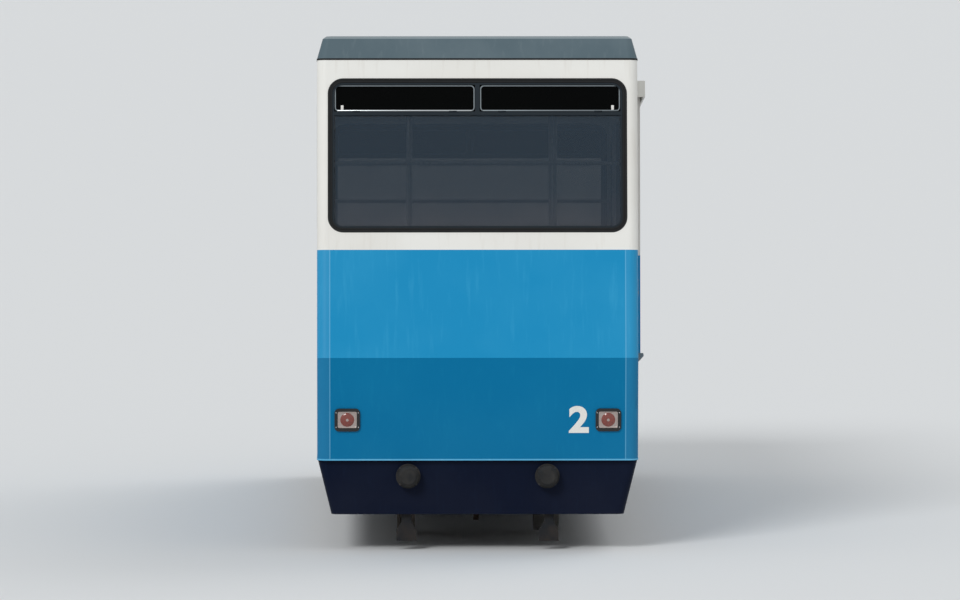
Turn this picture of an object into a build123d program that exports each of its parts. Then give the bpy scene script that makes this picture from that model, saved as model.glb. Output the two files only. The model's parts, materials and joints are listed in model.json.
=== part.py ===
from build123d import *
import os
from math import atan, cos, degrees, radians, sin, tan

os.makedirs("parts", exist_ok=True)

# Funicular car for a metre-gauge track, in millimetres.
# Stored frame: X to the right seen from the downhill end, Y along the track towards the uphill end, Z up
# from the plane that the wheel flanges touch. The body is level on its gradient, so in this frame it leans.
# Level frame: the body's own frame, with a horizontal floor. Its origin is the rail top at mid-length.

# Track and gradient
GRADIENT = 0.10
GAUGE = 1000
RAIL_HEAD_WIDTH = 65
FLANGE_DEPTH = 22

# Body, level frame. A rise or drop is a height from the crease between the two blue panels, and the crease
# keeps its clearance above the rail at the uphill end.
BODY_WIDTH = 2400
HALF_LENGTH = 3600
BODY_SHIFT = -136
CORNER_RADIUS = 70
WALL = 60
LOWER_WALL = 40
CREASE_ABOVE_UPHILL_RAIL = 720
FLOOR_RISE = 100
FLOOR_THICK = 60
BAND_RISE = 810
ROOF_EDGE_RISE = 2250
ROOF_HEIGHT = 170
ROOF_CHAMFER = 42
ROOF_CORNER_RADIUS = 50
ROOF_EDGE_DROP = 20
ROOF_EDGE_RUN = 26
ROOF_SKIN = 45
CEILING = 15
UPPER_LEAN = 0.098
LOWER_LEAN = 0.213
END_PIECE_LENGTH = 400

# Skirt and apron, measured square to the track above the rail top
SKIRT_TOP = 657
SKIRT_BOTTOM = 249
SKIRT_WALL = 20
SKIRT_INSET = 5
SKIRT_TAPER = 100
APRON_INSET = 35
APRON_LEAN_DOWNHILL = 30
APRON_LEAN_UPHILL = 92
APRON_SIDE_LENGTH = 180
SKIRT_RADIUS = 60

# End glazing
WINDSCREEN_FROM_SIDE = 80
WINDSCREEN_LOW_RISE = 940
WINDSCREEN_HIGH_RISE = 2100
WINDSCREEN_RADIUS = 115
SEAL_WIDTH = 35
SEAL_PROUD = 6
FRAME_WIDTH = 14
FRAME_DEPTH = 40
TRANSOM_LOW_RISE = 1820
TRANSOM_HEIGHT = 30
MULLION_WIDTH = 34
GLASS = 10

# Side windows
SIDE_WINDOW_LOW_RISE = 980
SIDE_WINDOW_HIGH_RISE = 1960
SIDE_WINDOW_RADIUS = 90
SIDE_SEAL_WIDTH = 30
SIDE_PILLAR = 150
LEFT_WINDOW_COUNT = 4
RIGHT_MIDDLE_WINDOW_COUNT = 2

# Doors on the right side
DOOR_FROM_END = 1850
DOOR_CLEAR_WIDTH = 1200
DOORWAY_TOP_RISE = 2030
DOORWAY_RADIUS = 60
LEAF_OVERLAP = 20
LEAF_MEETING_GAP = 6
LEAF_THICK = 34
LEAF_GAP = 10
LEAF_LOW_RISE = 60
LEAF_HIGH_RISE = 2072
LEAF_TRAVEL = 600
LEAF_WINDOW_WIDTH = 400
LEAF_WINDOW_LOW_RISE = 620
LEAF_WINDOW_HIGH_RISE = 1880
LEAF_WINDOW_RADIUS = 80
LEAF_RADIUS = 10
HEADER_LOW_RISE = 1980
HEADER_HIGH_RISE = 2102
HEADER_PROUD = 66
HEADER_PLATE = 12
HEADER_SPARE = 30
GUIDE_HEIGHT = 26
GUIDE_PROUD = 50
GUIDE_GAP = 8
GUIDE_LIP = 8

# Lamps and buffers
LAMP_FROM_SIDE = 225
LAMP_WIDTH = 190
LAMP_HEIGHT = 172
LAMP_RADIUS = 34
LAMP_PROUD = 14
LAMP_RIM = 22
LAMP_RECESS = 10
LENS_RADIUS = 48
LENS_BULGE = 10
LENS_EDGE = 6
LAMP_DOWNHILL_DROP = 460
LAMP_UPHILL_RISE = 170
BUFFER_X = 520
BUFFER_HEIGHT = 541
BUFFER_RADIUS = 78
BUFFER_FACE_RADIUS = 56
BUFFER_HEAD = 62
BUFFER_EDGE = 21
BUFFER_STEM_RADIUS = 50
BUFFER_PLATE_RADIUS = 92
BUFFER_PLATE = 14
BUFFER_PROUD = 110
BUFFER_CLEARANCE = 6

# Running gear
WHEELBASE = 4000
TREAD_RADIUS = 300
WHEEL_WIDTH = 135
FLANGE_WIDTH = 28
FLANGE_SLOPE = 12
ROLLER_WIDTH = 190
RIM_DEPTH = 48
WEB_THICK = 26
HUB_RADIUS = 105
HUB_WIDTH = 150
AXLE_RADIUS = 58
JOURNAL_RADIUS = 45
JOURNAL_CLEARANCE = 0.5
JOURNAL_INSIDE = 70
JOURNAL_OUTSIDE = 40
BRAKE_DISC_RADIUS = 220
BRAKE_DISC_WIDTH = 40
PAD_GAP = 6
PAD_THICK = 24
PAD_LENGTH = 64
PAD_HEIGHT = 110
CHEEK_THICK = 20
CHEEK_HEIGHT = 70
CHEEK_ROOT = 120
CALIPER_BRIDGE = 50
CALIPER_CYLINDER_RADIUS = 44
CALIPER_CYLINDER_LENGTH = 70

# Girders and what hangs from them
GIRDER_FROM_RAIL = 227.5
GIRDER_BOTTOM = 460
GIRDER_FLANGE_WIDTH = 140
GIRDER_FLANGE = 14
GIRDER_WEB = 12
GIRDER_BAYS = 6
BAY_MARGIN = 46
DIAGONAL_WIDTH = 56
JACKING_PAD = 18
JACKING_PAD_LENGTH = 160
JACKING_FROM_END = 250
CROSS_DEPTH = 150
CROSS_WIDTH = 90
OUTRIGGER_DEPTH = 90
OUTRIGGER_WIDTH = 50
HEADSTOCK_DEPTH = 110
HEADSTOCK_LOW = 420
HEADSTOCK_HIGH = 640
HEADSTOCK_FROM_SIDE = 210
HEADSTOCK_CLEARANCE = 24
GUARD_WIDTH = 150
GUARD_THICK = 24
GUARD_ABOVE_RAIL = 45
GUARD_LEG_WIDTH = 70

AXLEBOX_HALF = 115
AXLEBOX_WIDTH = 120
AXLEBOX_CHAMFER = 38
AXLEBOX_COVER_RADIUS = 84
AXLEBOX_COVER = 34
WING_REACH = 300
WING_THICK = 36
WING_TOP = 255
HORN_THICK = 26
HORN_GAP = 3
HORN_BOTTOM = 275
SPRING_LENGTH = 112
SPRING_WIDTH = 112
SPRING_LAYERS = 3
SPRING_PLATE = 10
SPRING_GROOVE = 8
SPRING_OFFSET = 222

# Rail brakes, rope anchor and equipment case
BRAKE_LENGTH = 320
BRAKE_HALF_WIDTH = 78
BRAKE_JAW_GAP = 11
BRAKE_JAW_DEPTH = 17
BRAKE_TOP = 135
BRAKE_THROAT = 55
BRAKE_HANGER_WIDTH = 60
BRAKE_HANGER_FOOT = 60
BRAKE_HANGER_LIP = 40
BRAKE_CYLINDER_RADIUS = 55
BRAKE_CYLINDER_LENGTH = 250
BRAKE_CYLINDER_SINK = 15
ANCHOR_PIN_RADIUS = 25
ANCHOR_PIN_HEIGHT = 200
ANCHOR_PIN_BACK = 90
ANCHOR_EAR = 30
ANCHOR_JAW = 70
ANCHOR_EAR_RADIUS = 62
ANCHOR_EAR_LENGTH = 300
ANCHOR_PLATE = 20
CASE_FROM_GIRDER = 20
CASE_LENGTH = 720
CASE_HEIGHT = 560
CASE_RADIUS = 24
CASE_FROM_HEADSTOCK = 40

# Inside the cabin
SEAT_HEIGHT = 450
SEAT_DEPTH = 430
SEAT_PAN = 55
SEAT_BACK_HEIGHT = 820
SEAT_BACK_THICK = 50
SEAT_RAKE = 35
SEAT_BASE_SET_BACK = 110
BENCH_FROM_END = 900
BENCH_FROM_DOOR = 170
POLE_RADIUS = 17
POLE_FROM_BENCH = 210
DOOR_POLE_FROM_BENCH = 90
DOOR_POLE_FROM_DOOR = 90
POLE_FROM_END = 1300
RAIL_BAR_RISE = 1465
RAIL_BAR_RADIUS = 16
RAIL_BAR_BACK = 70
DESK_FROM_WALL = 40
DESK_WIDTH = 720
DESK_DEPTH = 320
DESK_HEIGHT = 800
DESK_SLOPE_DEPTH = 140
DESK_SLOPE = 110
DESK_GAP = 12

# Worked out from the sizes above
LEAN = atan(GRADIENT)
RAIL_TOP = FLANGE_DEPTH
RAIL_X = (GAUGE + RAIL_HEAD_WIDTH) / 2
AXLE_Z = RAIL_TOP + TREAD_RADIUS
GIRDER_X = RAIL_X + GIRDER_FROM_RAIL
JOURNAL_SHOULDER_X = GIRDER_X - JOURNAL_INSIDE
AXLE_END_X = GIRDER_X + JOURNAL_OUTSIDE
HALF_WIDTH = BODY_WIDTH / 2
CREASE_Z = CREASE_ABOVE_UPHILL_RAIL + GRADIENT * HALF_LENGTH
FLOOR_Z = CREASE_Z + FLOOR_RISE
BAND_Z = CREASE_Z + BAND_RISE
ROOF_EDGE_Z = CREASE_Z + ROOF_EDGE_RISE
WINDSCREEN_LOW = CREASE_Z + WINDSCREEN_LOW_RISE
WINDSCREEN_HIGH = CREASE_Z + WINDSCREEN_HIGH_RISE
TRANSOM_LOW = CREASE_Z + TRANSOM_LOW_RISE
SIDE_WINDOW_LOW = CREASE_Z + SIDE_WINDOW_LOW_RISE
SIDE_WINDOW_HIGH = CREASE_Z + SIDE_WINDOW_HIGH_RISE
DOORWAY_TOP = CREASE_Z + DOORWAY_TOP_RISE
LEAF_LOW = CREASE_Z + LEAF_LOW_RISE
LEAF_HIGH = CREASE_Z + LEAF_HIGH_RISE
LEAF_WINDOW_LOW = CREASE_Z + LEAF_WINDOW_LOW_RISE
LEAF_WINDOW_HIGH = CREASE_Z + LEAF_WINDOW_HIGH_RISE
HEADER_LOW = CREASE_Z + HEADER_LOW_RISE
HEADER_HIGH = CREASE_Z + HEADER_HIGH_RISE
LAMP_UPHILL_Z = CREASE_Z + LAMP_UPHILL_RISE
RAIL_BAR_Z = CREASE_Z + RAIL_BAR_RISE
LAMP_DOWNHILL_Z = CREASE_Z - LAMP_DOWNHILL_DROP
END_PIECE_Y = HALF_LENGTH - END_PIECE_LENGTH
WINDSCREEN_WIDTH = BODY_WIDTH - 2 * WINDSCREEN_FROM_SIDE
LAMP_X = HALF_WIDTH - LAMP_FROM_SIDE
HEADSTOCK_HALF_WIDTH = HALF_WIDTH - HEADSTOCK_FROM_SIDE
DOOR_CENTRES = [DOOR_FROM_END - HALF_LENGTH, HALF_LENGTH - DOOR_FROM_END]
DOOR_EDGE_INNER = HALF_LENGTH - DOOR_FROM_END - DOOR_CLEAR_WIDTH / 2
DOOR_EDGE_OUTER = DOOR_EDGE_INNER + DOOR_CLEAR_WIDTH
BENCH_FRONT = HALF_WIDTH - WALL - SEAT_DEPTH
LEFT_BENCH_HALF = HALF_LENGTH - BENCH_FROM_END
RIGHT_BENCH_HALF = DOOR_EDGE_INNER - BENCH_FROM_DOOR
FAR = 6000
BOTH_ENDS = [False, True]


def window_row(low, high, count):
    """Centre and width of the windows between two places along a side, with a pillar beside each."""
    width = (high - low - (count + 1) * SIDE_PILLAR) / count
    first = low + SIDE_PILLAR + width / 2
    return [(first + i * (width + SIDE_PILLAR), width) for i in range(count)]


LEFT_WINDOWS = window_row(-END_PIECE_Y, END_PIECE_Y, LEFT_WINDOW_COUNT)
RIGHT_WINDOWS = (
    window_row(-END_PIECE_Y, -DOOR_EDGE_OUTER, 1)
    + window_row(-DOOR_EDGE_INNER, DOOR_EDGE_INNER, RIGHT_MIDDLE_WINDOW_COUNT)
    + window_row(DOOR_EDGE_OUTER, END_PIECE_Y, 1)
)
# columns: x, y along the body
POLES = [
    (POLE_FROM_BENCH - BENCH_FRONT, POLE_FROM_END - HALF_LENGTH),
    (POLE_FROM_BENCH - BENCH_FRONT, 0),
    (POLE_FROM_BENCH - BENCH_FRONT, HALF_LENGTH - POLE_FROM_END),
    (BENCH_FRONT - DOOR_POLE_FROM_BENCH, DOOR_POLE_FROM_DOOR - DOOR_EDGE_INNER),
    (BENCH_FRONT - DOOR_POLE_FROM_BENCH, DOOR_EDGE_INNER - DOOR_POLE_FROM_DOOR),
]


def rail_height(y):
    """Height of the rail top in the level frame."""
    return GRADIENT * y


def end_reach(z):
    """Half-length of the outside of the body at height z of the level frame."""
    if z >= CREASE_Z:
        return HALF_LENGTH - (z - CREASE_Z) * UPPER_LEAN
    return HALF_LENGTH - (CREASE_Z - z) * LOWER_LEAN


LEVEL_TO_TRACK = Location((0, BODY_SHIFT, RAIL_TOP), (-degrees(LEAN), 0, 0))


def track_point(y, z):
    """Level-frame y and z as y and z of the stored frame."""
    return (BODY_SHIFT + y * cos(LEAN) + z * sin(LEAN), RAIL_TOP - y * sin(LEAN) + z * cos(LEAN))


def level_height(y, z):
    """Stored-frame height at stored y of the level frame's horizontal plane at z."""
    return RAIL_TOP + z / cos(LEAN) - (y - BODY_SHIFT) * GRADIENT


def save(name, shape, level=False):
    """Writes one sub-part, moved from the level frame where asked."""
    solids = [LEVEL_TO_TRACK * s if level else s for s in shape.solids()]
    export_step(solids[0] if len(solids) == 1 else Compound(children=solids), f"parts/{name}.step")


def block(x0, x1, y0, y1, z0, z1):
    """Box from its lowest to its highest corner."""
    return Pos((x0 + x1) / 2, (y0 + y1) / 2, (z0 + z1) / 2) * Box(x1 - x0, y1 - y0, z1 - z0)


def side_sheet(points, x0, x1):
    """Outline of (y, z) points, extruded from x0 to x1."""
    face = make_face(Polyline(*[(0, y, z) for y, z in points], close=True))
    return Pos(x0, 0, 0) * extrude(face, x1 - x0, dir=(1, 0, 0))


def rounded_opening(y, z, width, height, radius, x0, x1):
    """Rounded rectangle on the side wall, centred on y and z, from x0 to x1."""
    outline = Plane((x0, y, z), x_dir=(0, 1, 0), z_dir=(1, 0, 0)) * RectangleRounded(width, height, radius)
    return extrude(outline, x1 - x0, dir=(1, 0, 0))


def body_section(z, inset, reach):
    """Rounded plan of the body at height z, inside its outer face by inset."""
    radius = CORNER_RADIUS - inset
    return Plane((0, 0, z)) * RectangleRounded(BODY_WIDTH - 2 * inset, 2 * (reach - inset), radius)


def body_ring(low, high, wall):
    """Wall of the body between two heights of the level frame."""
    outside = loft([body_section(z, 0, end_reach(z)) for z in (low, high)], ruled=True)
    inside = loft([body_section(z, wall, end_reach(z)) for z in (low, high)], ruled=True)
    return outside - inside


def split_ring(ring, split_y):
    """Left, right, downhill and uphill pieces of a ring, cut at split_y from each end."""
    low, high = split_y
    left = ring & block(-FAR, 0, low, high, -FAR, FAR)
    right = ring & block(0, FAR, low, high, -FAR, FAR)
    downhill = ring & block(-FAR, FAR, -FAR, low, -FAR, FAR)
    uphill = ring & block(-FAR, FAR, high, FAR, -FAR, FAR)
    return left, right, downhill, uphill


def end_plane(z, uphill=False):
    """Plane on the outer face of an end above the crease, its own Y running up the face."""
    lean = atan(UPPER_LEAN) if z >= CREASE_Z else -atan(LOWER_LEAN)
    plane = Plane((0, -end_reach(z), z), x_dir=(1, 0, 0), z_dir=(0, -cos(lean), sin(lean)))
    if uphill:
        return Plane((0, end_reach(z), z), x_dir=(-1, 0, 0), z_dir=(0, cos(lean), sin(lean)))
    return plane


# Body bands

END_SPLIT = (-END_PIECE_Y, END_PIECE_Y)
FACE_SLOPE = 1 / cos(atan(UPPER_LEAN))
WINDSCREEN_MIDDLE = (WINDSCREEN_LOW + WINDSCREEN_HIGH) / 2
WINDSCREEN_HEIGHT = (WINDSCREEN_HIGH - WINDSCREEN_LOW) * FACE_SLOPE


def end_window(uphill, shrink, out, depth):
    """Windscreen outline smaller by shrink all round, from out above the face to a depth below it."""
    outline = RectangleRounded(
        WINDSCREEN_WIDTH - 2 * shrink, WINDSCREEN_HEIGHT - 2 * shrink, WINDSCREEN_RADIUS - shrink
    )
    plane = end_plane(WINDSCREEN_MIDDLE, uphill)
    return extrude(plane * Pos(0, 0, out) * outline, out + depth, dir=-plane.z_dir)


def doorways(wall):
    """The two doorways of the right side, cut through a wall."""
    width, height = DOOR_CLEAR_WIDTH, DOORWAY_TOP - FLOOR_Z
    cut = wall
    for y in DOOR_CENTRES:
        middle = FLOOR_Z + height / 2
        cut -= rounded_opening(y, middle, width, height, DOORWAY_RADIUS, 0, FAR)
        cut -= block(0, FAR, y - width / 2, y + width / 2, FLOOR_Z, FLOOR_Z + DOORWAY_RADIUS)
    return cut


def side_opening(y, width, shrink, x0, x1):
    """Side window outline smaller by shrink all round."""
    height = SIDE_WINDOW_HIGH - SIDE_WINDOW_LOW
    middle = (SIDE_WINDOW_HIGH + SIDE_WINDOW_LOW) / 2
    radius = SIDE_WINDOW_RADIUS - shrink
    return rounded_opening(y, middle, width - 2 * shrink, height - 2 * shrink, radius, x0, x1)


def build_body():
    window_band = body_ring(BAND_Z, ROOF_EDGE_Z, WALL)
    left, right, downhill, uphill = split_ring(window_band, END_SPLIT)
    for y, width in LEFT_WINDOWS:
        left -= side_opening(y, width, 0, -FAR, 0)
    for y, width in RIGHT_WINDOWS:
        right -= side_opening(y, width, 0, 0, FAR)
    save("window_wall_left", left, level=True)
    save("window_wall_right", doorways(right), level=True)
    through = 2 * WALL
    save("window_wall_downhill", downhill - end_window(False, 0, through, through), level=True)
    save("window_wall_uphill", uphill - end_window(True, 0, through, through), level=True)

    panels = body_ring(CREASE_Z, BAND_Z, WALL)
    left, right, downhill, uphill = split_ring(panels, END_SPLIT)
    save("side_panel_left", left, level=True)
    save("side_panel_right", doorways(right), level=True)
    save("nose_panel_downhill", downhill, level=True)
    save("nose_panel_uphill", uphill - lamp_cuts(True), level=True)

    bottom = SKIRT_TOP / cos(LEAN)
    low = bottom + rail_height(-HALF_LENGTH) - WALL
    wedge = body_ring(low, CREASE_Z, LOWER_WALL)
    cut_low, cut_high = bottom + rail_height(-FAR), bottom + rail_height(FAR)
    wedge -= side_sheet([(-FAR, cut_low), (FAR, cut_high), (FAR, -FAR), (-FAR, -FAR)], -FAR, FAR)
    left, right, downhill, uphill = split_ring(wedge, END_SPLIT)
    save("lower_side_left", left, level=True)
    save("lower_side_right", right, level=True)
    save("lower_nose_downhill", downhill - lamp_cuts(False), level=True)
    save("lower_nose_uphill", uphill, level=True)


def build_floor_and_roof():
    reach = end_reach(FLOOR_Z) - WALL
    plan = Plane((0, 0, FLOOR_Z - FLOOR_THICK)) * RectangleRounded(
        BODY_WIDTH - 2 * WALL, 2 * reach, CORNER_RADIUS - WALL
    )
    save("floor", extrude(plan, FLOOR_THICK), level=True)

    edge = end_reach(ROOF_EDGE_Z)
    top_z = ROOF_EDGE_Z + ROOF_HEIGHT
    sections = [body_section(ROOF_EDGE_Z, 0, edge)]
    for z, inset in ((top_z - ROOF_EDGE_DROP, ROOF_CHAMFER), (top_z, ROOF_CHAMFER + ROOF_EDGE_RUN)):
        plan = RectangleRounded(BODY_WIDTH - 2 * inset, 2 * (edge - inset), ROOF_CORNER_RADIUS)
        sections.append(Plane((0, 0, z)) * plan)
    roof = loft(sections, ruled=True)
    hollow_reach = edge - ROOF_CHAMFER - WALL
    hollow = Plane((0, 0, ROOF_EDGE_Z)) * RectangleRounded(
        BODY_WIDTH - 2 * (ROOF_CHAMFER + WALL), 2 * hollow_reach, ROOF_CORNER_RADIUS
    )
    save("roof", roof - extrude(hollow, ROOF_HEIGHT - ROOF_SKIN), level=True)

    lining = Plane((0, 0, ROOF_EDGE_Z - CEILING)) * RectangleRounded(
        BODY_WIDTH - 2 * WALL, 2 * (edge - WALL), CORNER_RADIUS - WALL
    )
    save("ceiling", extrude(lining, CEILING), level=True)


# Skirt and aprons

def skirt_section(height, inset, lean_share):
    """Plan of the skirt at a height above the rail top, stored frame."""
    half = HALF_WIDTH - SKIRT_INSET - SKIRT_TAPER * lean_share
    bottom = SKIRT_TOP / cos(LEAN)
    down_z = bottom + rail_height(-HALF_LENGTH)
    up_z = bottom + rail_height(HALF_LENGTH)
    down = track_point(-end_reach(down_z) + APRON_INSET, down_z)[0] + APRON_LEAN_DOWNHILL * lean_share
    up = track_point(end_reach(up_z) - APRON_INSET, up_z)[0] - APRON_LEAN_UPHILL * lean_share
    centre = Pos(0, (down + up) / 2, RAIL_TOP + height)
    return centre * RectangleRounded(2 * (half - inset), up - down - 2 * inset, SKIRT_RADIUS - inset)


def apron_end(uphill, lean_share=1):
    """Stored y of the apron's outer face at its bottom edge, or at its top with a share of 0."""
    box = skirt_section(SKIRT_BOTTOM, 0, lean_share).bounding_box()
    return box.max.Y if uphill else box.min.Y


def build_skirt():
    ring = None
    for inset in (0, SKIRT_WALL):
        sections = [skirt_section(SKIRT_BOTTOM, inset, 1), skirt_section(SKIRT_TOP, inset, 0)]
        solid = loft(sections, ruled=True)
        ring = solid if ring is None else ring - solid
    split = (apron_end(False) + APRON_SIDE_LENGTH, apron_end(True) - APRON_SIDE_LENGTH)
    left, right, downhill, uphill = split_ring(ring, split)
    save("skirt_left", left)
    save("skirt_right", right)
    save("apron_downhill", downhill - buffer_cuts(False))
    save("apron_uphill", uphill - buffer_cuts(True))


# Glazing

def build_end_glazing():
    seals, frames, screens, lights = [], [], [], []
    inner = SEAL_WIDTH + FRAME_WIDTH
    glass_depth = (FRAME_DEPTH + GLASS) / 2
    for uphill in BOTH_ENDS:
        plane = end_plane(WINDSCREEN_MIDDLE, uphill)
        seals.append(end_window(uphill, 0, SEAL_PROUD, WALL) - end_window(uphill, SEAL_WIDTH, FAR, FAR))
        bar_middle = (TRANSOM_LOW + TRANSOM_HEIGHT / 2 - WINDSCREEN_MIDDLE) * FACE_SLOPE
        top = WINDSCREEN_HEIGHT / 2 - SEAL_WIDTH
        hollow = end_window(uphill, inner, FAR, FAR)
        wide = WINDSCREEN_WIDTH - 2 * SEAL_WIDTH
        bar = Pos(0, bar_middle, -FRAME_DEPTH / 2) * Box(wide, TRANSOM_HEIGHT, FRAME_DEPTH)
        post_height = top - bar_middle
        post = Pos(0, bar_middle + post_height / 2, -FRAME_DEPTH / 2) * Box(
            MULLION_WIDTH, post_height, FRAME_DEPTH
        )
        rim = end_window(uphill, SEAL_WIDTH, 0, FRAME_DEPTH)
        frames.append((rim - hollow) + (rim & (plane * (bar + post))))
        pane = end_window(uphill, inner, 0, glass_depth)
        pane -= end_window(uphill, inner, FAR, glass_depth - GLASS)
        bar_edge = bar_middle - TRANSOM_HEIGHT / 2
        below = plane * Pos(0, bar_edge - FAR / 2, 0) * Box(FAR, FAR, FAR)
        above = plane * Pos(0, bar_edge + TRANSOM_HEIGHT + FAR / 2, 0) * Box(FAR, FAR, FAR)
        middle_post = plane * Box(MULLION_WIDTH, FAR, FAR)
        screens.append(pane & below)
        lights.append((pane & above) - middle_post)
    save("windscreen_seals", Compound(children=seals), level=True)
    save("windscreen_frames", Compound(children=frames), level=True)
    save("windscreens", Compound(children=screens), level=True)
    save("top_lights", Compound(children=[s for light in lights for s in light.solids()]), level=True)


def build_side_glazing():
    seals, panes = [], []
    for side, windows in ((-1, LEFT_WINDOWS), (1, RIGHT_WINDOWS)):
        outer = side * (HALF_WIDTH + SEAL_PROUD / 2)
        inner = side * (HALF_WIDTH - WALL)
        middle = side * (HALF_WIDTH - WALL / 2)
        for y, width in windows:
            x0, x1 = sorted((outer, inner))
            ring = side_opening(y, width, 0, x0, x1) - side_opening(y, width, SIDE_SEAL_WIDTH, -FAR, FAR)
            seals.append(ring)
            panes.append(side_opening(y, width, SIDE_SEAL_WIDTH, middle - GLASS / 2, middle + GLASS / 2))
    save("side_window_seals", Compound(children=seals), level=True)
    save("side_glass", Compound(children=panes), level=True)


# Doors

LEAF_X = HALF_WIDTH + LEAF_GAP
LEAF_WIDTH = DOOR_CLEAR_WIDTH / 2 + LEAF_OVERLAP - LEAF_MEETING_GAP / 2
# columns: name, door centre, side of the centre that the leaf covers
LEAVES = [
    ("door_a_lower_leaf", DOOR_CENTRES[0], -1),
    ("door_a_upper_leaf", DOOR_CENTRES[0], 1),
    ("door_b_lower_leaf", DOOR_CENTRES[1], -1),
    ("door_b_upper_leaf", DOOR_CENTRES[1], 1),
]


def build_doors():
    height = LEAF_HIGH - LEAF_LOW
    window_height = LEAF_WINDOW_HIGH - LEAF_WINDOW_LOW
    window_z = (LEAF_WINDOW_HIGH + LEAF_WINDOW_LOW) / 2
    for name, centre, side in LEAVES:
        y = centre + side * (LEAF_MEETING_GAP / 2 + LEAF_WIDTH / 2)
        z = LEAF_LOW + height / 2
        leaf = rounded_opening(y, z, LEAF_WIDTH, height, LEAF_RADIUS, LEAF_X, LEAF_X + LEAF_THICK)
        window_y = centre + side * (LEAF_MEETING_GAP / 2 + LEAF_WIDTH / 2 - LEAF_OVERLAP / 2)
        hole = (window_y, window_z, LEAF_WINDOW_WIDTH, window_height, LEAF_WINDOW_RADIUS)
        leaf -= rounded_opening(*hole, 0, FAR)
        middle = LEAF_X + LEAF_THICK / 2
        pane = rounded_opening(*hole, middle - GLASS / 2, middle + GLASS / 2)
        save(name, leaf, level=True)
        save(f"{name[:-5]}_glass", pane, level=True)

    covers, guides = [], []
    reach = DOOR_CLEAR_WIDTH / 2 + LEAF_OVERLAP + LEAF_TRAVEL + HEADER_SPARE
    outer = HALF_WIDTH + HEADER_PROUD
    for centre in DOOR_CENTRES:
        low, high = centre - reach, centre + reach
        cover = block(HALF_WIDTH, outer, low, high, HEADER_LOW, HEADER_HIGH)
        cover -= block(HALF_WIDTH, outer - HEADER_PLATE, low + HEADER_PLATE, high - HEADER_PLATE, 0,
                       HEADER_HIGH - HEADER_PLATE)
        covers.append(cover)
        guide_top = LEAF_LOW - GUIDE_GAP
        guide = block(HALF_WIDTH, HALF_WIDTH + GUIDE_PROUD, low, high, guide_top - GUIDE_HEIGHT, guide_top)
        guides.append(guide)
    save("door_headers", Compound(children=covers), level=True)
    save("door_guides", Compound(children=guides), level=True)


# Lamps and buffers

def lamp_places(uphill):
    """Planes at the lamps' centres on an end, their own Z pointing out."""
    z = LAMP_UPHILL_Z if uphill else LAMP_DOWNHILL_Z
    return [end_plane(z, uphill) * Pos(x, 0, 0) for x in (-LAMP_X, LAMP_X)]


def lamp_block(place, shrink, low, high):
    outline = RectangleRounded(LAMP_WIDTH - 2 * shrink, LAMP_HEIGHT - 2 * shrink, LAMP_RADIUS - shrink)
    return place * Pos(0, 0, low) * extrude(outline, high - low)


def lamp_body(place, low, high):
    """Square-cornered back of a lamp, which passes through the panel."""
    width, height = LAMP_WIDTH - LAMP_RIM, LAMP_HEIGHT - LAMP_RIM
    return place * Pos(0, 0, (low + high) / 2) * Box(width, height, high - low)


def lamp_cuts(uphill):
    cuts = [lamp_body(place, -2 * WALL, 2 * WALL) for place in lamp_places(uphill)]
    return cuts[0] + cuts[1]


def build_lamps():
    housings, lenses = [], []
    for uphill in BOTH_ENDS:
        for place in lamp_places(uphill):
            housing = lamp_block(place, 0, 0, LAMP_PROUD)
            housing += lamp_body(place, -LOWER_WALL, 0)
            housing -= lamp_block(place, LAMP_RIM, LAMP_PROUD - LAMP_RECESS, WALL)
            floor_z = LAMP_PROUD - LAMP_RECESS
            lens = place * Pos(0, 0, floor_z) * extrude(Circle(LENS_RADIUS), LENS_BULGE)
            rim = lens.edges().filter_by(GeomType.CIRCLE).group_by(Axis.Y)[-1 if uphill else 0]
            housings.append(housing)
            lenses.append(chamfer(rim, LENS_EDGE))
    save("lamp_housings", Compound(children=housings), level=True)
    save("lamp_lenses", Compound(children=lenses), level=True)


def headstock_face(uphill):
    """Stored y of the headstock's outer face."""
    sign = 1 if uphill else -1
    return apron_end(uphill) - sign * (SKIRT_WALL + HEADSTOCK_CLEARANCE)


def buffer_profile(uphill):
    """Turned buffer: stem, plate and rubber head, along the track."""
    sign = 1 if uphill else -1
    start = headstock_face(uphill)
    tip = apron_end(uphill, 0) + sign * BUFFER_PROUD
    length = abs(tip - start)
    head = length - BUFFER_HEAD
    points = [
        (0, 0), (BUFFER_STEM_RADIUS, 0), (BUFFER_STEM_RADIUS, head - BUFFER_PLATE),
        (BUFFER_PLATE_RADIUS, head - BUFFER_PLATE), (BUFFER_PLATE_RADIUS, head), (BUFFER_RADIUS, head),
        (BUFFER_RADIUS, length - BUFFER_EDGE), (BUFFER_FACE_RADIUS, length), (0, length),
    ]
    face = make_face(Polyline(*[(r, s) for r, s in points], close=True))
    turned = revolve(face, Axis.Y)
    return start, turned if uphill else Rot(Z=180) * turned


def buffer_cuts(uphill):
    radius = BUFFER_STEM_RADIUS + BUFFER_CLEARANCE
    hole = Rot(X=90) * Cylinder(radius, 2 * FAR)
    half = block(-FAR, FAR, 0, FAR, -FAR, FAR) if uphill else block(-FAR, FAR, -FAR, 0, -FAR, FAR)
    cuts = [Pos(x, 0, RAIL_TOP + BUFFER_HEIGHT) * hole for x in (-BUFFER_X, BUFFER_X)]
    return (cuts[0] + cuts[1]) & half


def build_buffers():
    buffers = []
    for uphill in BOTH_ENDS:
        start, turned = buffer_profile(uphill)
        for x in (-BUFFER_X, BUFFER_X):
            buffers.append(Pos(x, start, RAIL_TOP + BUFFER_HEIGHT) * turned)
    save("buffers", Compound(children=buffers))


# Wheelsets


def turned_x(points):
    """Solid of revolution about X from (x, radius) points."""
    return revolve(make_face(Polyline(*points, close=True)), Axis.X)


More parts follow.
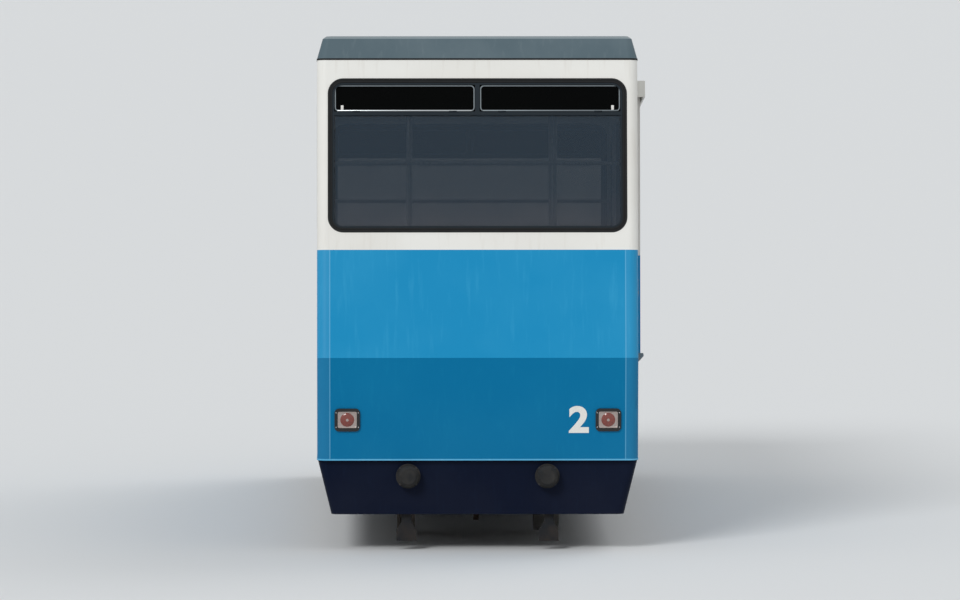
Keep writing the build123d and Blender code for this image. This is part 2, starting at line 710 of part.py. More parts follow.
def wheel(centre, width, flanged):
    """Wheel with a dished web, with a flange on both sides of the tread or with none."""
    half = width / 2
    tread = TREAD_RADIUS
    inner = tread - RIM_DEPTH
    flange = tread + FLANGE_DEPTH
    left, right = centre - half, centre + half
    hub_left, hub_right = centre - HUB_WIDTH / 2, centre + HUB_WIDTH / 2
    dish = WEB_THICK
    web_low = centre - WEB_THICK / 2
    web_high = centre + WEB_THICK / 2
    if flanged:
        flange_left, flange_right = left + FLANGE_WIDTH, right - FLANGE_WIDTH
        rim = [(left, flange), (flange_left - FLANGE_SLOPE, flange), (flange_left, tread),
               (flange_right, tread), (flange_right + FLANGE_SLOPE, flange), (right, flange)]
    else:
        rim = [(left, tread), (right, tread)]
    points = [
        (hub_left, 0), (hub_left, HUB_RADIUS), (web_low + dish, HUB_RADIUS), (web_low - dish, inner),
        (left, inner), *rim, (right, inner), (web_high - dish, inner), (web_high + dish, HUB_RADIUS),
        (hub_right, HUB_RADIUS), (hub_right, 0),
    ]
    return turned_x(points)


def build_wheelsets():
    axle = turned_x([
        (-AXLE_END_X, 0), (-AXLE_END_X, JOURNAL_RADIUS), (-JOURNAL_SHOULDER_X, JOURNAL_RADIUS),
        (-JOURNAL_SHOULDER_X, AXLE_RADIUS), (JOURNAL_SHOULDER_X, AXLE_RADIUS),
        (JOURNAL_SHOULDER_X, JOURNAL_RADIUS), (AXLE_END_X, JOURNAL_RADIUS), (AXLE_END_X, 0),
    ])
    disc = turned_x([
        (-BRAKE_DISC_WIDTH / 2, 0), (-BRAKE_DISC_WIDTH / 2, BRAKE_DISC_RADIUS),
        (BRAKE_DISC_WIDTH / 2, BRAKE_DISC_RADIUS), (BRAKE_DISC_WIDTH / 2, 0),
    ])
    wheelset = axle + disc + wheel(-RAIL_X, WHEEL_WIDTH, True) + wheel(RAIL_X, ROLLER_WIDTH, False)
    for name, y in (("wheelset_downhill", -WHEELBASE / 2), ("wheelset_uphill", WHEELBASE / 2)):
        save(name, Pos(0, y, AXLE_Z) * wheelset)


def spring_block(height):
    """Rubber spring with steel plates between its layers, standing at the origin."""
    half = SPRING_LENGTH / 2
    waist = half - SPRING_GROOVE
    layer = (height - SPRING_PLATE) / SPRING_LAYERS
    side = []
    for i in range(SPRING_LAYERS):
        low = i * layer
        plate_top = low + SPRING_PLATE
        side += [(half, low), (half, plate_top), (waist, plate_top), (waist, low + layer)]
    side += [(half, height - SPRING_PLATE), (half, height)]
    outline = side + [(-y, z) for y, z in reversed(side)]
    return side_sheet(outline, -SPRING_WIDTH / 2, SPRING_WIDTH / 2)


def build_axleboxes():
    boxes, springs = [], []
    girder_bottom = RAIL_TOP + GIRDER_BOTTOM
    wing_top = RAIL_TOP + WING_TOP
    for y in (-WHEELBASE / 2, WHEELBASE / 2):
        for side in (-1, 1):
            x = side * GIRDER_X
            inner, outer = x - AXLEBOX_WIDTH / 2, x + AXLEBOX_WIDTH / 2
            box = block(inner, outer, y - AXLEBOX_HALF, y + AXLEBOX_HALF, AXLE_Z - AXLEBOX_HALF,
                        AXLE_Z + AXLEBOX_HALF)
            box = chamfer(box.edges().filter_by(Axis.X), AXLEBOX_CHAMFER)
            box += block(inner, outer, y - WING_REACH, y + WING_REACH, wing_top - WING_THICK, wing_top)
            bearing = Cylinder(JOURNAL_RADIUS + JOURNAL_CLEARANCE, 2 * (AXLE_END_X + JOURNAL_CLEARANCE))
            box -= Pos(0, y, AXLE_Z) * Rot(Y=90) * bearing
            face_x = outer if side > 0 else inner
            cover = Rot(Y=90) * Cylinder(AXLEBOX_COVER_RADIUS, AXLEBOX_COVER)
            boxes.append(box + Pos(face_x + side * AXLEBOX_COVER / 2, y, AXLE_Z) * cover)
            spring = spring_block(girder_bottom - wing_top)
            for offset in (-SPRING_OFFSET, SPRING_OFFSET):
                springs.append(Pos(x, y + offset, wing_top) * spring)
    save("axleboxes", Compound(children=boxes))
    save("springs", Compound(children=springs))


# Underframe

def girder_top(y):
    """Stored height of the girder's top face at stored y: the floor's underside."""
    return level_height(y, FLOOR_Z - FLOOR_THICK)


def girder_ends():
    """Stored y of the girders' two ends, against the headstocks' inner faces."""
    return headstock_face(False) + HEADSTOCK_DEPTH, headstock_face(True) - HEADSTOCK_DEPTH


def bay_edges():
    start, end = girder_ends()
    return [start + (end - start) * i / GIRDER_BAYS for i in range(GIRDER_BAYS + 1)]


def truss_holes(y0, y1, rising):
    """Two triangles either side of a diagonal in one bay of the web."""
    low = RAIL_TOP + GIRDER_BOTTOM + GIRDER_FLANGE + BAY_MARGIN
    left, right = y0 + BAY_MARGIN, y1 - BAY_MARGIN
    top_left = girder_top(left) - GIRDER_FLANGE - BAY_MARGIN
    top_right = girder_top(right) - GIRDER_FLANGE - BAY_MARGIN
    d = DIAGONAL_WIDTH
    if rising:
        lower = [(left + d, low), (right, low), (right, top_right - d)]
        upper = [(left, low + d), (right - d, top_right), (left, top_left)]
    else:
        lower = [(left, low), (right - d, low), (left, top_left - d)]
        upper = [(right, low + d), (right, top_right), (left + d, top_left)]
    cuts = []
    for points in (lower, upper):
        cuts.append(side_sheet(points, -GIRDER_WEB, GIRDER_WEB))
    return cuts


def jacking_places():
    """Stored y of the middle of the jacking pads under each girder."""
    y0, y1 = girder_ends()
    return y0 + JACKING_FROM_END, y1 - JACKING_FROM_END


def build_girders():
    """Trussed webs between flanges. The bottom flanges carry the axlebox guides and the jacking pads."""
    y0, y1 = girder_ends()
    bottom = RAIL_TOP + GIRDER_BOTTOM
    low = bottom + GIRDER_FLANGE
    edges = bay_edges()
    web = side_sheet([(y0, low), (y1, low), (y1, girder_top(y1) - GIRDER_FLANGE),
                      (y0, girder_top(y0) - GIRDER_FLANGE)], -GIRDER_WEB / 2, GIRDER_WEB / 2)
    for i in range(GIRDER_BAYS):
        for cut in truss_holes(edges[i], edges[i + 1], i % 2 == 0):
            web -= cut
    save("girder_web_left", Pos(-GIRDER_X, 0, 0) * web)
    save("girder_web_right", Pos(GIRDER_X, 0, 0) * web)

    half = GIRDER_FLANGE_WIDTH / 2
    upper = side_sheet([(y0, girder_top(y0) - GIRDER_FLANGE), (y1, girder_top(y1) - GIRDER_FLANGE),
                        (y1, girder_top(y1)), (y0, girder_top(y0))], -half, half)
    lower = block(-half, half, y0, y1, bottom, low)
    horn_low = RAIL_TOP + HORN_BOTTOM
    inner = AXLEBOX_HALF + HORN_GAP
    for axle_y in (-WHEELBASE / 2, WHEELBASE / 2):
        for side in (-1, 1):
            a, b = sorted((axle_y + side * inner, axle_y + side * (inner + HORN_THICK)))
            lower += block(-AXLEBOX_WIDTH / 2, AXLEBOX_WIDTH / 2, a, b, horn_low, bottom)
    for y in jacking_places():
        reach = JACKING_PAD_LENGTH / 2
        lower += block(-half, half, y - reach, y + reach, bottom - JACKING_PAD, bottom)
    for name, flange in (("girder_top_flanges", upper), ("girder_bottom_flanges", lower)):
        save(name, Compound(children=[Pos(x, 0, 0) * flange for x in (-GIRDER_X, GIRDER_X)]))


def is_low_member(y):
    """True where the wheels leave room for a cross member between the girders' bottom flanges."""
    return abs(abs(y) - WHEELBASE / 2) > TREAD_RADIUS + FLANGE_DEPTH + CROSS_WIDTH


def build_cross_members():
    """Beams between the girders, and outriggers from them to the side walls."""
    members = []
    inner = GIRDER_X - GIRDER_FLANGE_WIDTH / 2
    outer = GIRDER_X + GIRDER_FLANGE_WIDTH / 2
    bottom = RAIL_TOP + GIRDER_BOTTOM
    for y in bay_edges()[1:-1]:
        a, b = y - CROSS_WIDTH / 2, y + CROSS_WIDTH / 2
        if is_low_member(y):
            members.append(block(-inner, inner, a, b, bottom, bottom + CROSS_DEPTH))
        else:
            points = [(a, girder_top(a) - CROSS_DEPTH), (b, girder_top(b) - CROSS_DEPTH),
                      (b, girder_top(b)), (a, girder_top(a))]
            members.append(side_sheet(points, -inner, inner))
        c, d = y - OUTRIGGER_WIDTH / 2, y + OUTRIGGER_WIDTH / 2
        points = [(c, girder_top(c) - OUTRIGGER_DEPTH), (d, girder_top(d) - OUTRIGGER_DEPTH),
                  (d, girder_top(d)), (c, girder_top(c))]
        members.append(side_sheet(points, outer, HALF_WIDTH - WALL))
        members.append(side_sheet(points, WALL - HALF_WIDTH, -outer))
    save("cross_members", Compound(children=members))


def build_headstocks():
    """End beams that carry the buffers, with a guard ahead of each wheel."""
    beams = []
    for uphill in BOTH_ENDS:
        sign = 1 if uphill else -1
        outer = headstock_face(uphill)
        inner = outer - sign * HEADSTOCK_DEPTH
        y0, y1 = sorted((outer, inner))
        half = HEADSTOCK_HALF_WIDTH
        beam = block(-half, half, y0, y1, RAIL_TOP + HEADSTOCK_LOW, RAIL_TOP + HEADSTOCK_HIGH)
        for x in (-RAIL_X, RAIL_X):
            g0, g1 = sorted((outer, outer - sign * GUARD_THICK))
            leg_top = RAIL_TOP + HEADSTOCK_LOW
            foot_top = RAIL_TOP + GUARD_ABOVE_RAIL + GUARD_WIDTH
            foot, leg = GUARD_WIDTH / 2, GUARD_LEG_WIDTH / 2
            foot_low, shoulder = RAIL_TOP + GUARD_ABOVE_RAIL, foot_top - GUARD_LEG_WIDTH
            shape = [(x - foot, foot_low), (x + foot, foot_low), (x + foot, shoulder), (x + leg, foot_top),
                     (x + leg, leg_top), (x - leg, leg_top), (x - leg, foot_top), (x - foot, shoulder)]
            face = make_face(Polyline(*[(px, g0, pz) for px, pz in shape], close=True))
            beam += extrude(face, g1 - g0, dir=(0, 1, 0))
        beams.append(beam)
    save("headstocks", Compound(children=beams))


def build_disc_brakes():
    """Caliper over the edge of each axle's brake disc, on two cheeks from the nearest low cross member."""
    brakes = []
    pad_x = BRAKE_DISC_WIDTH / 2 + PAD_GAP
    cheek_x = pad_x + PAD_THICK
    outer_x = cheek_x + CHEEK_THICK
    root = RAIL_TOP + GIRDER_BOTTOM
    low, high = AXLE_Z, AXLE_Z + PAD_HEIGHT
    for sign in (-1, 1):
        members = [y for y in bay_edges() if is_low_member(y) and 0 < sign * y < WHEELBASE / 2]
        start = max(members, key=abs) + sign * CROSS_WIDTH / 2
        rim = sign * (WHEELBASE / 2 - BRAKE_DISC_RADIUS - PAD_GAP)
        bridge = rim - sign * CALIPER_BRIDGE
        tip = rim + sign * (PAD_GAP + PAD_LENGTH)
        middle = (rim + tip) / 2 + sign * PAD_GAP / 2
        outline = [(start, root), (start, root + CHEEK_ROOT), (bridge, high), (tip, high), (tip, low),
                   (bridge, low), (bridge, high - CHEEK_HEIGHT)]
        y0, y1 = sorted((bridge, rim))
        caliper = block(-outer_x, outer_x, y0, y1, low, high)
        y0, y1 = sorted((tip, tip - sign * PAD_LENGTH))
        for side in (-1, 1):
            a, b = sorted((side * cheek_x, side * outer_x))
            caliper += side_sheet(outline, a, b)
            a, b = sorted((side * pad_x, side * cheek_x))
            caliper += block(a, b, y0, y1, low, high)
            cylinder = Rot(Y=90) * Cylinder(CALIPER_CYLINDER_RADIUS, CALIPER_CYLINDER_LENGTH)
            x = side * (outer_x + CALIPER_CYLINDER_LENGTH / 2)
            caliper += Pos(x, middle, (low + high) / 2) * cylinder
        brakes.append(caliper)
    save("disc_brakes", Compound(children=brakes))


def build_rail_brakes():
    """Caliper over each rail head at mid-length, hung from the middle cross member."""
    brakes = []
    jaw = RAIL_HEAD_WIDTH / 2 + BRAKE_JAW_GAP
    half = BRAKE_HALF_WIDTH
    y0 = min(bay_edges(), key=abs)
    for x in (-RAIL_X, RAIL_X):
        low = -BRAKE_JAW_DEPTH
        outline = [(-half, low), (-half, BRAKE_TOP), (half, BRAKE_TOP), (half, low), (jaw, low),
                   (jaw, BRAKE_THROAT), (-jaw, BRAKE_THROAT), (-jaw, low)]
        start = y0 - BRAKE_LENGTH / 2
        face = make_face(Polyline(*[(x + px, start, RAIL_TOP + pz) for px, pz in outline], close=True))
        body = extrude(face, BRAKE_LENGTH, dir=(0, 1, 0))
        top, hang = RAIL_TOP + BRAKE_TOP, RAIL_TOP + GIRDER_BOTTOM
        wide, narrow = BRAKE_LENGTH / 2, CROSS_WIDTH / 2
        foot, lip = top + BRAKE_HANGER_FOOT, hang - BRAKE_HANGER_LIP
        hanger = [(y0 - wide, top), (y0 + wide, top), (y0 + wide, foot), (y0 + narrow, lip),
                  (y0 + narrow, hang), (y0 - narrow, hang), (y0 - narrow, lip), (y0 - wide, foot)]
        body += side_sheet(hanger, x - BRAKE_HANGER_WIDTH / 2, x + BRAKE_HANGER_WIDTH / 2)
        cylinder = Rot(Y=90) * Cylinder(BRAKE_CYLINDER_RADIUS, BRAKE_CYLINDER_LENGTH)
        body += Pos(x, y0, top + BRAKE_CYLINDER_RADIUS - BRAKE_CYLINDER_SINK) * cylinder
        brakes.append(body)
    save("rail_brakes", Compound(children=brakes))


def anchor_place():
    """Stored y and z of the rope pin."""
    return headstock_face(True) - ANCHOR_PIN_BACK, RAIL_TOP + ANCHOR_PIN_HEIGHT


def build_rope_anchor():
    """Clevis under the uphill headstock, bored for the pin of the rope socket."""
    y, z = anchor_place()
    top = RAIL_TOP + HEADSTOCK_LOW
    half = ANCHOR_JAW / 2 + ANCHOR_EAR
    front = headstock_face(True)
    back = front - ANCHOR_EAR_LENGTH
    ear = [(y - ANCHOR_EAR_RADIUS, z), (y + ANCHOR_EAR_RADIUS, z), (front, top - ANCHOR_PLATE),
           (front, top), (back, top), (back, top - ANCHOR_PLATE)]
    anchor = side_sheet(ear, -half, half)
    anchor += Pos(0, y, z) * Rot(Y=90) * Cylinder(ANCHOR_EAR_RADIUS, 2 * half)
    anchor -= block(-ANCHOR_JAW / 2, ANCHOR_JAW / 2, -FAR, FAR, -FAR, top - ANCHOR_PLATE)
    anchor -= Pos(0, y, z) * Rot(Y=90) * Cylinder(ANCHOR_PIN_RADIUS, FAR)
    save("rope_anchor", anchor)


def build_equipment_case():
    """Hydraulic and battery case on the girders' bottom flanges, in the deep downhill end."""
    start = girder_ends()[0] + CASE_FROM_HEADSTOCK
    base = RAIL_TOP + GIRDER_BOTTOM + GIRDER_FLANGE
    half = GIRDER_X - CASE_FROM_GIRDER
    case = block(-half, half, start, start + CASE_LENGTH, base, base + CASE_HEIGHT)
    save("equipment_case", fillet(case.edges().filter_by(Axis.Z), CASE_RADIUS))


# Inside the cabin

def bench(half_length):
    """Long bench with its back to the wall at x = HALF_WIDTH - WALL."""
    wall = HALF_WIDTH - WALL
    front = BENCH_FRONT
    top = FLOOR_Z + SEAT_HEIGHT
    back_top = FLOOR_Z + SEAT_BACK_HEIGHT
    base = front + SEAT_BASE_SET_BACK
    back = wall - SEAT_BACK_THICK
    outline = [(wall, FLOOR_Z), (base, FLOOR_Z), (base, top - SEAT_PAN), (front, top - SEAT_PAN),
               (front, top), (back - SEAT_RAKE, top - SEAT_RAKE / 2), (back, back_top), (wall, back_top)]
    face = make_face(Polyline(*[(x, -half_length, z) for x, z in outline], close=True))
    return extrude(face, 2 * half_length, dir=(0, 1, 0))


def build_inside():
    benches = [Rot(Z=180) * bench(LEFT_BENCH_HALF), bench(RIGHT_BENCH_HALF)]
    save("benches", Compound(children=benches), level=True)

    rails = []
    height = ROOF_EDGE_Z - CEILING - FLOOR_Z
    for x, y in POLES:
        rails.append(Pos(x, y, FLOOR_Z + height / 2) * Cylinder(POLE_RADIUS, height))
    bar_y = end_reach(RAIL_BAR_Z) - WALL - RAIL_BAR_BACK
    for y in (-bar_y, bar_y):
        rails.append(Pos(0, y, RAIL_BAR_Z) * Rot(Y=90) * Cylinder(RAIL_BAR_RADIUS, 2 * (HALF_WIDTH - WALL)))
    save("handrails", Compound(children=rails), level=True)

    top = FLOOR_Z + DESK_HEIGHT
    low_back = end_reach(FLOOR_Z) - WALL - DESK_GAP
    high_back = end_reach(top) - WALL - DESK_GAP
    front = DESK_DEPTH - low_back
    outline = [(-low_back, FLOOR_Z), (front, FLOOR_Z), (front, top - DESK_SLOPE),
               (DESK_SLOPE_DEPTH - high_back, top), (-high_back, top)]
    desk_x = DESK_FROM_WALL + WALL - HALF_WIDTH
    desk = side_sheet(outline, desk_x, desk_x + DESK_WIDTH)
    save("control_desks", Compound(children=[desk, Rot(Z=180) * desk]), level=True)


build_body()
build_floor_and_roof()
build_skirt()
build_end_glazing()
build_side_glazing()
build_doors()
build_lamps()
build_buffers()
build_wheelsets()
build_axleboxes()
build_girders()
build_cross_members()
build_headstocks()
build_disc_brakes()
build_rail_brakes()
build_rope_anchor()
build_equipment_case()
build_inside()
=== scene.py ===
# %% [markdown]
# A funicular car, seen from below on its slope.
# The passenger body stands level while the track climbs, so the underframe is a wedge. In this scene the track
# lies flat, and the body leans with its top away from us. Every length is in metres.

# %% Load the frame
import json
import math

import bmesh
import bpy
from mathutils import Matrix, Vector


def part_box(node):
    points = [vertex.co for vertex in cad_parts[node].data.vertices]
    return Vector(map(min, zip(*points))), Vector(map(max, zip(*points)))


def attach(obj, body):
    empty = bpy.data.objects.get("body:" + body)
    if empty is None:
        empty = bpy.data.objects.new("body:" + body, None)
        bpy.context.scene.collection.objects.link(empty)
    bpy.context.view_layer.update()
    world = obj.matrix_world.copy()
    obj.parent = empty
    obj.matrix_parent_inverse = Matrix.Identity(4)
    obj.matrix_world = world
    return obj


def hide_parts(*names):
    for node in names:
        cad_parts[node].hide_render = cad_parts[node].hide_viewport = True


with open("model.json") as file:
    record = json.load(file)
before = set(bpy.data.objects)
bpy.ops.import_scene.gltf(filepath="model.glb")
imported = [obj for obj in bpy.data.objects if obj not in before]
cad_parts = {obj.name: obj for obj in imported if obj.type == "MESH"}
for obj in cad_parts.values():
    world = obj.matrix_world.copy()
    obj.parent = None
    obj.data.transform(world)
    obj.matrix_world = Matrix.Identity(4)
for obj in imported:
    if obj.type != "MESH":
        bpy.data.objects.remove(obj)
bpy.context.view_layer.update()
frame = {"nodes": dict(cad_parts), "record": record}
nodes = frame["nodes"]

# %% [markdown]
# The body has a level frame of its own: its floor is horizontal on the slope. A few sizes of the real car and one
# turning matrix carry a place on the level body into the frame in which the wheels stand on the floor.

# %% Level frame of the body
GRADIENT = 0.10
RAIL_TOP = 0.022
BODY_SHIFT = -0.136
LEAN = math.atan(GRADIENT)

HALF_WIDTH, HALF_LENGTH = 1.2, 3.6
WALL = 0.06
CREASE_Z, FLOOR_Z, BAND_Z, ROOF_EDGE_Z = 1.08, 1.18, 1.89, 3.33
UPPER_LEAN, LOWER_LEAN = 0.098, 0.213
BOTH_ENDS = BOTH_WALLS = (False, True)
SIDES = (-1, 1)


def at(x=0.0, y=0.0, z=0.0):
    """Matrix that moves a shape to a place."""
    return Matrix.Translation((x, y, z))


def spin(degrees, axis):
    """Matrix that turns a shape about an axis."""
    return Matrix.Rotation(math.radians(degrees), 4, axis)


LEVEL = at(0, BODY_SHIFT, RAIL_TOP) @ Matrix.Rotation(-LEAN, 4, "X")
HALF_TURN, FLIP = spin(180, "Z"), spin(180, "Y")
UPRIGHT = spin(90, "Z") @ spin(90, "X")


def on_level(x, y, z):
    """Place inside the level body."""
    return LEVEL @ at(x, y, z)


def end_reach(z):
    """Half-length of the outside of the body at height z of the level frame."""
    return HALF_LENGTH - (z - CREASE_Z) * (UPPER_LEAN if z >= CREASE_Z else -LOWER_LEAN)


def on_end(z, uphill=False, x=0.0):
    """Place on an end's outer face: X to the right seen from outside, Y up the face, Z out of it."""
    lean = math.atan(UPPER_LEAN) if z >= CREASE_Z else -math.atan(LOWER_LEAN)
    place = at(x, -end_reach(z), z) @ Matrix.Rotation(math.pi / 2 - lean, 4, "X")
    return LEVEL @ HALF_TURN @ place if uphill else LEVEL @ place


def on_side(y, z, right=True, x=HALF_WIDTH):
    """Place on a side wall of the level body: X along the wall, Y up, Z out of it."""
    return (on_level(x, y, z) if right else on_level(-x, y, z) @ HALF_TURN) @ UPRIGHT


print("lean", round(math.degrees(LEAN), 2), "degrees")

# %% [markdown]
# Camera. The photograph is taken with a very long lens, from a point above the track and a little left of its
# middle. A long lens keeps the sides of the car nearly parallel. It is aimed straight at the car, so the picture
# needs no shift.

# %% Camera
CAMERA_PLACE = Vector((-0.76, -82.0, 7.1))
CAMERA_AIM = Vector((0.02, -3.2, 1.86))
CAMERA_LENS = 395
CAMERA_SIGHT = 1000


def in_scene(name, data):
    """A new object in the scene that shows the data."""
    thing = bpy.data.objects.new(name, data)
    bpy.context.scene.collection.objects.link(thing)
    return thing


camera = in_scene("camera", bpy.data.cameras.new("camera"))
camera.data.lens = CAMERA_LENS
camera.data.clip_end = CAMERA_SIGHT
camera.location = CAMERA_PLACE
camera.rotation_euler = (CAMERA_AIM - CAMERA_PLACE).to_track_quat("-Z", "Y").to_euler()
bpy.context.scene.camera = camera
print("camera distance", round((CAMERA_AIM - CAMERA_PLACE).length, 1), "m")

# %% [markdown]
# Small tools for all finishes. Colours are read off as hex codes, which are sRGB, and the shader wants linear
# numbers. A node tree is easier to read when each node is one call that names what feeds it.

# %% Colour and node tools


def srgb(code):
    """Linear colour with alpha from a hex code."""
    parts = [int(code[i:i + 2], 16) / 255 for i in (1, 3, 5)]
    return (*[c / 12.92 if c <= 0.04045 else ((c + 0.055) / 1.055) ** 2.4 for c in parts], 1)


def feed(tree, node, feeds):
    """Gives each input of a node a value or another node's output."""
    for key, value in feeds.items():
        if isinstance(value, bpy.types.NodeSocket):
            tree.links.new(value, node.inputs[key])
        else:
            node.inputs[key].default_value = value


def add(tree, kind, feeds=None, **settings):
    """One shader node with its settings and what feeds it."""
    node = tree.nodes.new(kind)
    for key, value in settings.items():
        setattr(node, key, value)
    feed(tree, node, feeds or {})
    return node


print("grey card", [round(v, 3) for v in srgb("#777777")])

# %% [markdown]
# Light. The sky glows evenly from all sides, and two wide suns shape the body: a key from the upper left in
# front, and a weak one from behind. Suns light the ground evenly, however far away the camera stands. What the
# camera, a gloss or a pane sees of the sky is the pale backdrop, so paint and metal reflect that.

# %% Sky and suns
SKY, SKY_STRENGTH = "#f4f6f8", 0.55
BACKDROP = "#e4e6e7"
# columns: name, strength, width of the disc in degrees, direction that the light travels
SUNS = [
    ("key_sun", 1.5, 20, (0.42, 0.80, -0.62)),
    ("back_sun", 0.6, 40, (-0.55, -0.60, -0.65)),
]

for name, strength, width, direction in SUNS:
    lamp = in_scene(name, bpy.data.lights.new(name, "SUN"))
    lamp.data.energy = strength
    lamp.data.angle = math.radians(width)
    lamp.rotation_euler = Vector(direction).to_track_quat("-Z", "Y").to_euler()

world = bpy.data.worlds.new("studio")
bpy.context.scene.world = world
world.use_nodes = True
sky = world.node_tree
sky.nodes.clear()
ray = add(sky, "ShaderNodeLightPath").outputs
seen = ray["Is Camera Ray"]
for kind in ("Is Glossy Ray", "Is Transmission Ray"):
    seen = add(sky, "ShaderNodeMath", {0: seen, 1: ray[kind]}, operation="MAXIMUM").outputs[0]
glow = add(sky, "ShaderNodeBackground", {"Color": srgb(SKY), "Strength": SKY_STRENGTH})
pale = add(sky, "ShaderNodeBackground", {"Color": srgb(BACKDROP), "Strength": 1.0})
both = add(sky, "ShaderNodeMixShader", {0: seen, 1: glow.outputs[0], 2: pale.outputs[0]})
add(sky, "ShaderNodeOutputWorld", {"Surface": both.outputs[0]})
bpy.context.scene.view_settings.view_transform = "Standard"
print("suns", len(SUNS))

# %% [markdown]
# Every finish is mixed from the same few kinds of node. Patterns are read from Object coordinates, so they stay on
# the piece when it moves, and each is given by its real size. Rain and dust follow gravity, so paint reads them in
# the level frame of the body, which a Mapping node gives by turning the coordinates back by the lean.

# %% Finish in the making
LEVEL_BACK = Matrix.Rotation(LEAN, 4, "X") @ Vector((0, -BODY_SHIFT, -RAIL_TOP))
MIX_A, MIX_B, MIX_OUT = 6, 7, 2


class Finish:
    """A material in the making. Most methods add one node and give back its output."""

    def __init__(self, name, upright=False):
        self.material = bpy.data.materials.new(name)
        self.material.use_nodes = True
        self.tree = self.material.node_tree
        self.tree.nodes.clear()
        self.shader = add(self.tree, "ShaderNodeBsdfPrincipled")
        add(self.tree, "ShaderNodeOutputMaterial", {"Surface": self.shader.outputs[0]})
        self.spot = self.add("ShaderNodeTexCoord", out="Object")
        if upright:
            self.spot = self.mapped({"Location": LEVEL_BACK, "Rotation": (LEAN, 0, 0)})

    def add(self, kind, feeds=None, out=0, **settings):
        """Any node, by its kind."""
        return add(self.tree, kind, feeds, **settings).outputs[out]

    def mapped(self, feeds):
        """The place on the piece, moved, turned or stretched."""
        return self.add("ShaderNodeMapping", {"Vector": self.spot, **feeds})

    def axis(self, name, vector=None):
        """One coordinate of a vector, or of the place on the piece."""
        return self.add("ShaderNodeSeparateXYZ", {"Vector": vector or self.spot}, out=name)

    def facing_up(self):
        """How far the surface looks up, from 1 to -1."""
        return self.axis("Z", self.add("ShaderNodeNewGeometry", out="Normal"))

    def noise(self, size, detail, spot=None):
        """Soft noise with grains of the given size."""
        return self.add("ShaderNodeTexNoise", {"Vector": spot or self.spot, "Scale": 1 / size, "Detail": detail})

    def maths(self, operation, *values):
        """A sum, a product or a comparison."""
        return self.add("ShaderNodeMath", dict(enumerate(values)), operation=operation)

    def ramp(self, value, start=0, end=1, low=0, high=1):
        """From low at the start to high at the end, and level beyond them."""
        return self.add("ShaderNodeMapRange", {"Value": value, "From Min": start, "From Max": end,
                                               "To Min": low, "To Max": high})

    def mix(self, share, first, second):
        """Between two colours, each of them an output or a hex code."""
        first, second = (srgb(colour) if isinstance(colour, str) else colour for colour in (first, second))
        return self.add("ShaderNodeMix", {0: share, MIX_A: first, MIX_B: second}, out=MIX_OUT, data_type="RGBA")

    def bump(self, height, strength, distance, below=None):
        """A fine relief, on top of another one if that is given."""
        feeds = {"Normal": below} if below else {}
        return self.add("ShaderNodeBump", {"Height": height, "Strength": strength, "Distance": distance, **feeds})

    def done(self, feeds):
        """The finished material, with what feeds its shader."""
        feed(self.tree, self.shader, feeds)
        return self.material


print("level frame", [round(v, 3) for v in LEVEL_BACK])

# %% [markdown]
# Gloss enamel on the steel panels: sprayed paint that the sun has chalked in soft patches. Rain leaves pale
# runs a few centimetres wide, straight down, and the track throws brown dust on the lowest part. The surface has
# the fine orange peel of spray paint, and a sheet of steel is never quite flat, which bends its reflections. On the
# ends the rounded corner pieces are painted lighter, with a lighter line where they begin: both are painted
# highlights. On the roof the faces that look up are painted paler: a painted sky highlight, with some sun fading.

# %% Gloss enamel
PATCH_SIZE = 0.7
RUN_WIDTH, RUN_LENGTH = 0.035, 1.1
PEEL_SIZE, SHEET_WAVE = 0.006, 0.45
DUST, DUST_DEPTH = "#6b5d4d", 0.7
# A paler grey for what faces the sky: a painted sky highlight, with some sun fading.
SKY_LIT_PALE = "#a9b2b5"
SEAM_X, SEAM_HALF, CORNER_X = 1.105, 0.0035, 1.192
# The corner tone and the lighter line where the corners begin are painted highlights on the rounded corners of the
# ends.
CORNER_HIGHLIGHT, SEAM_HIGHLIGHT, SEAM_HIGHLIGHT_SHARE = "#8cc4de", "#7fc0e0", 0.45


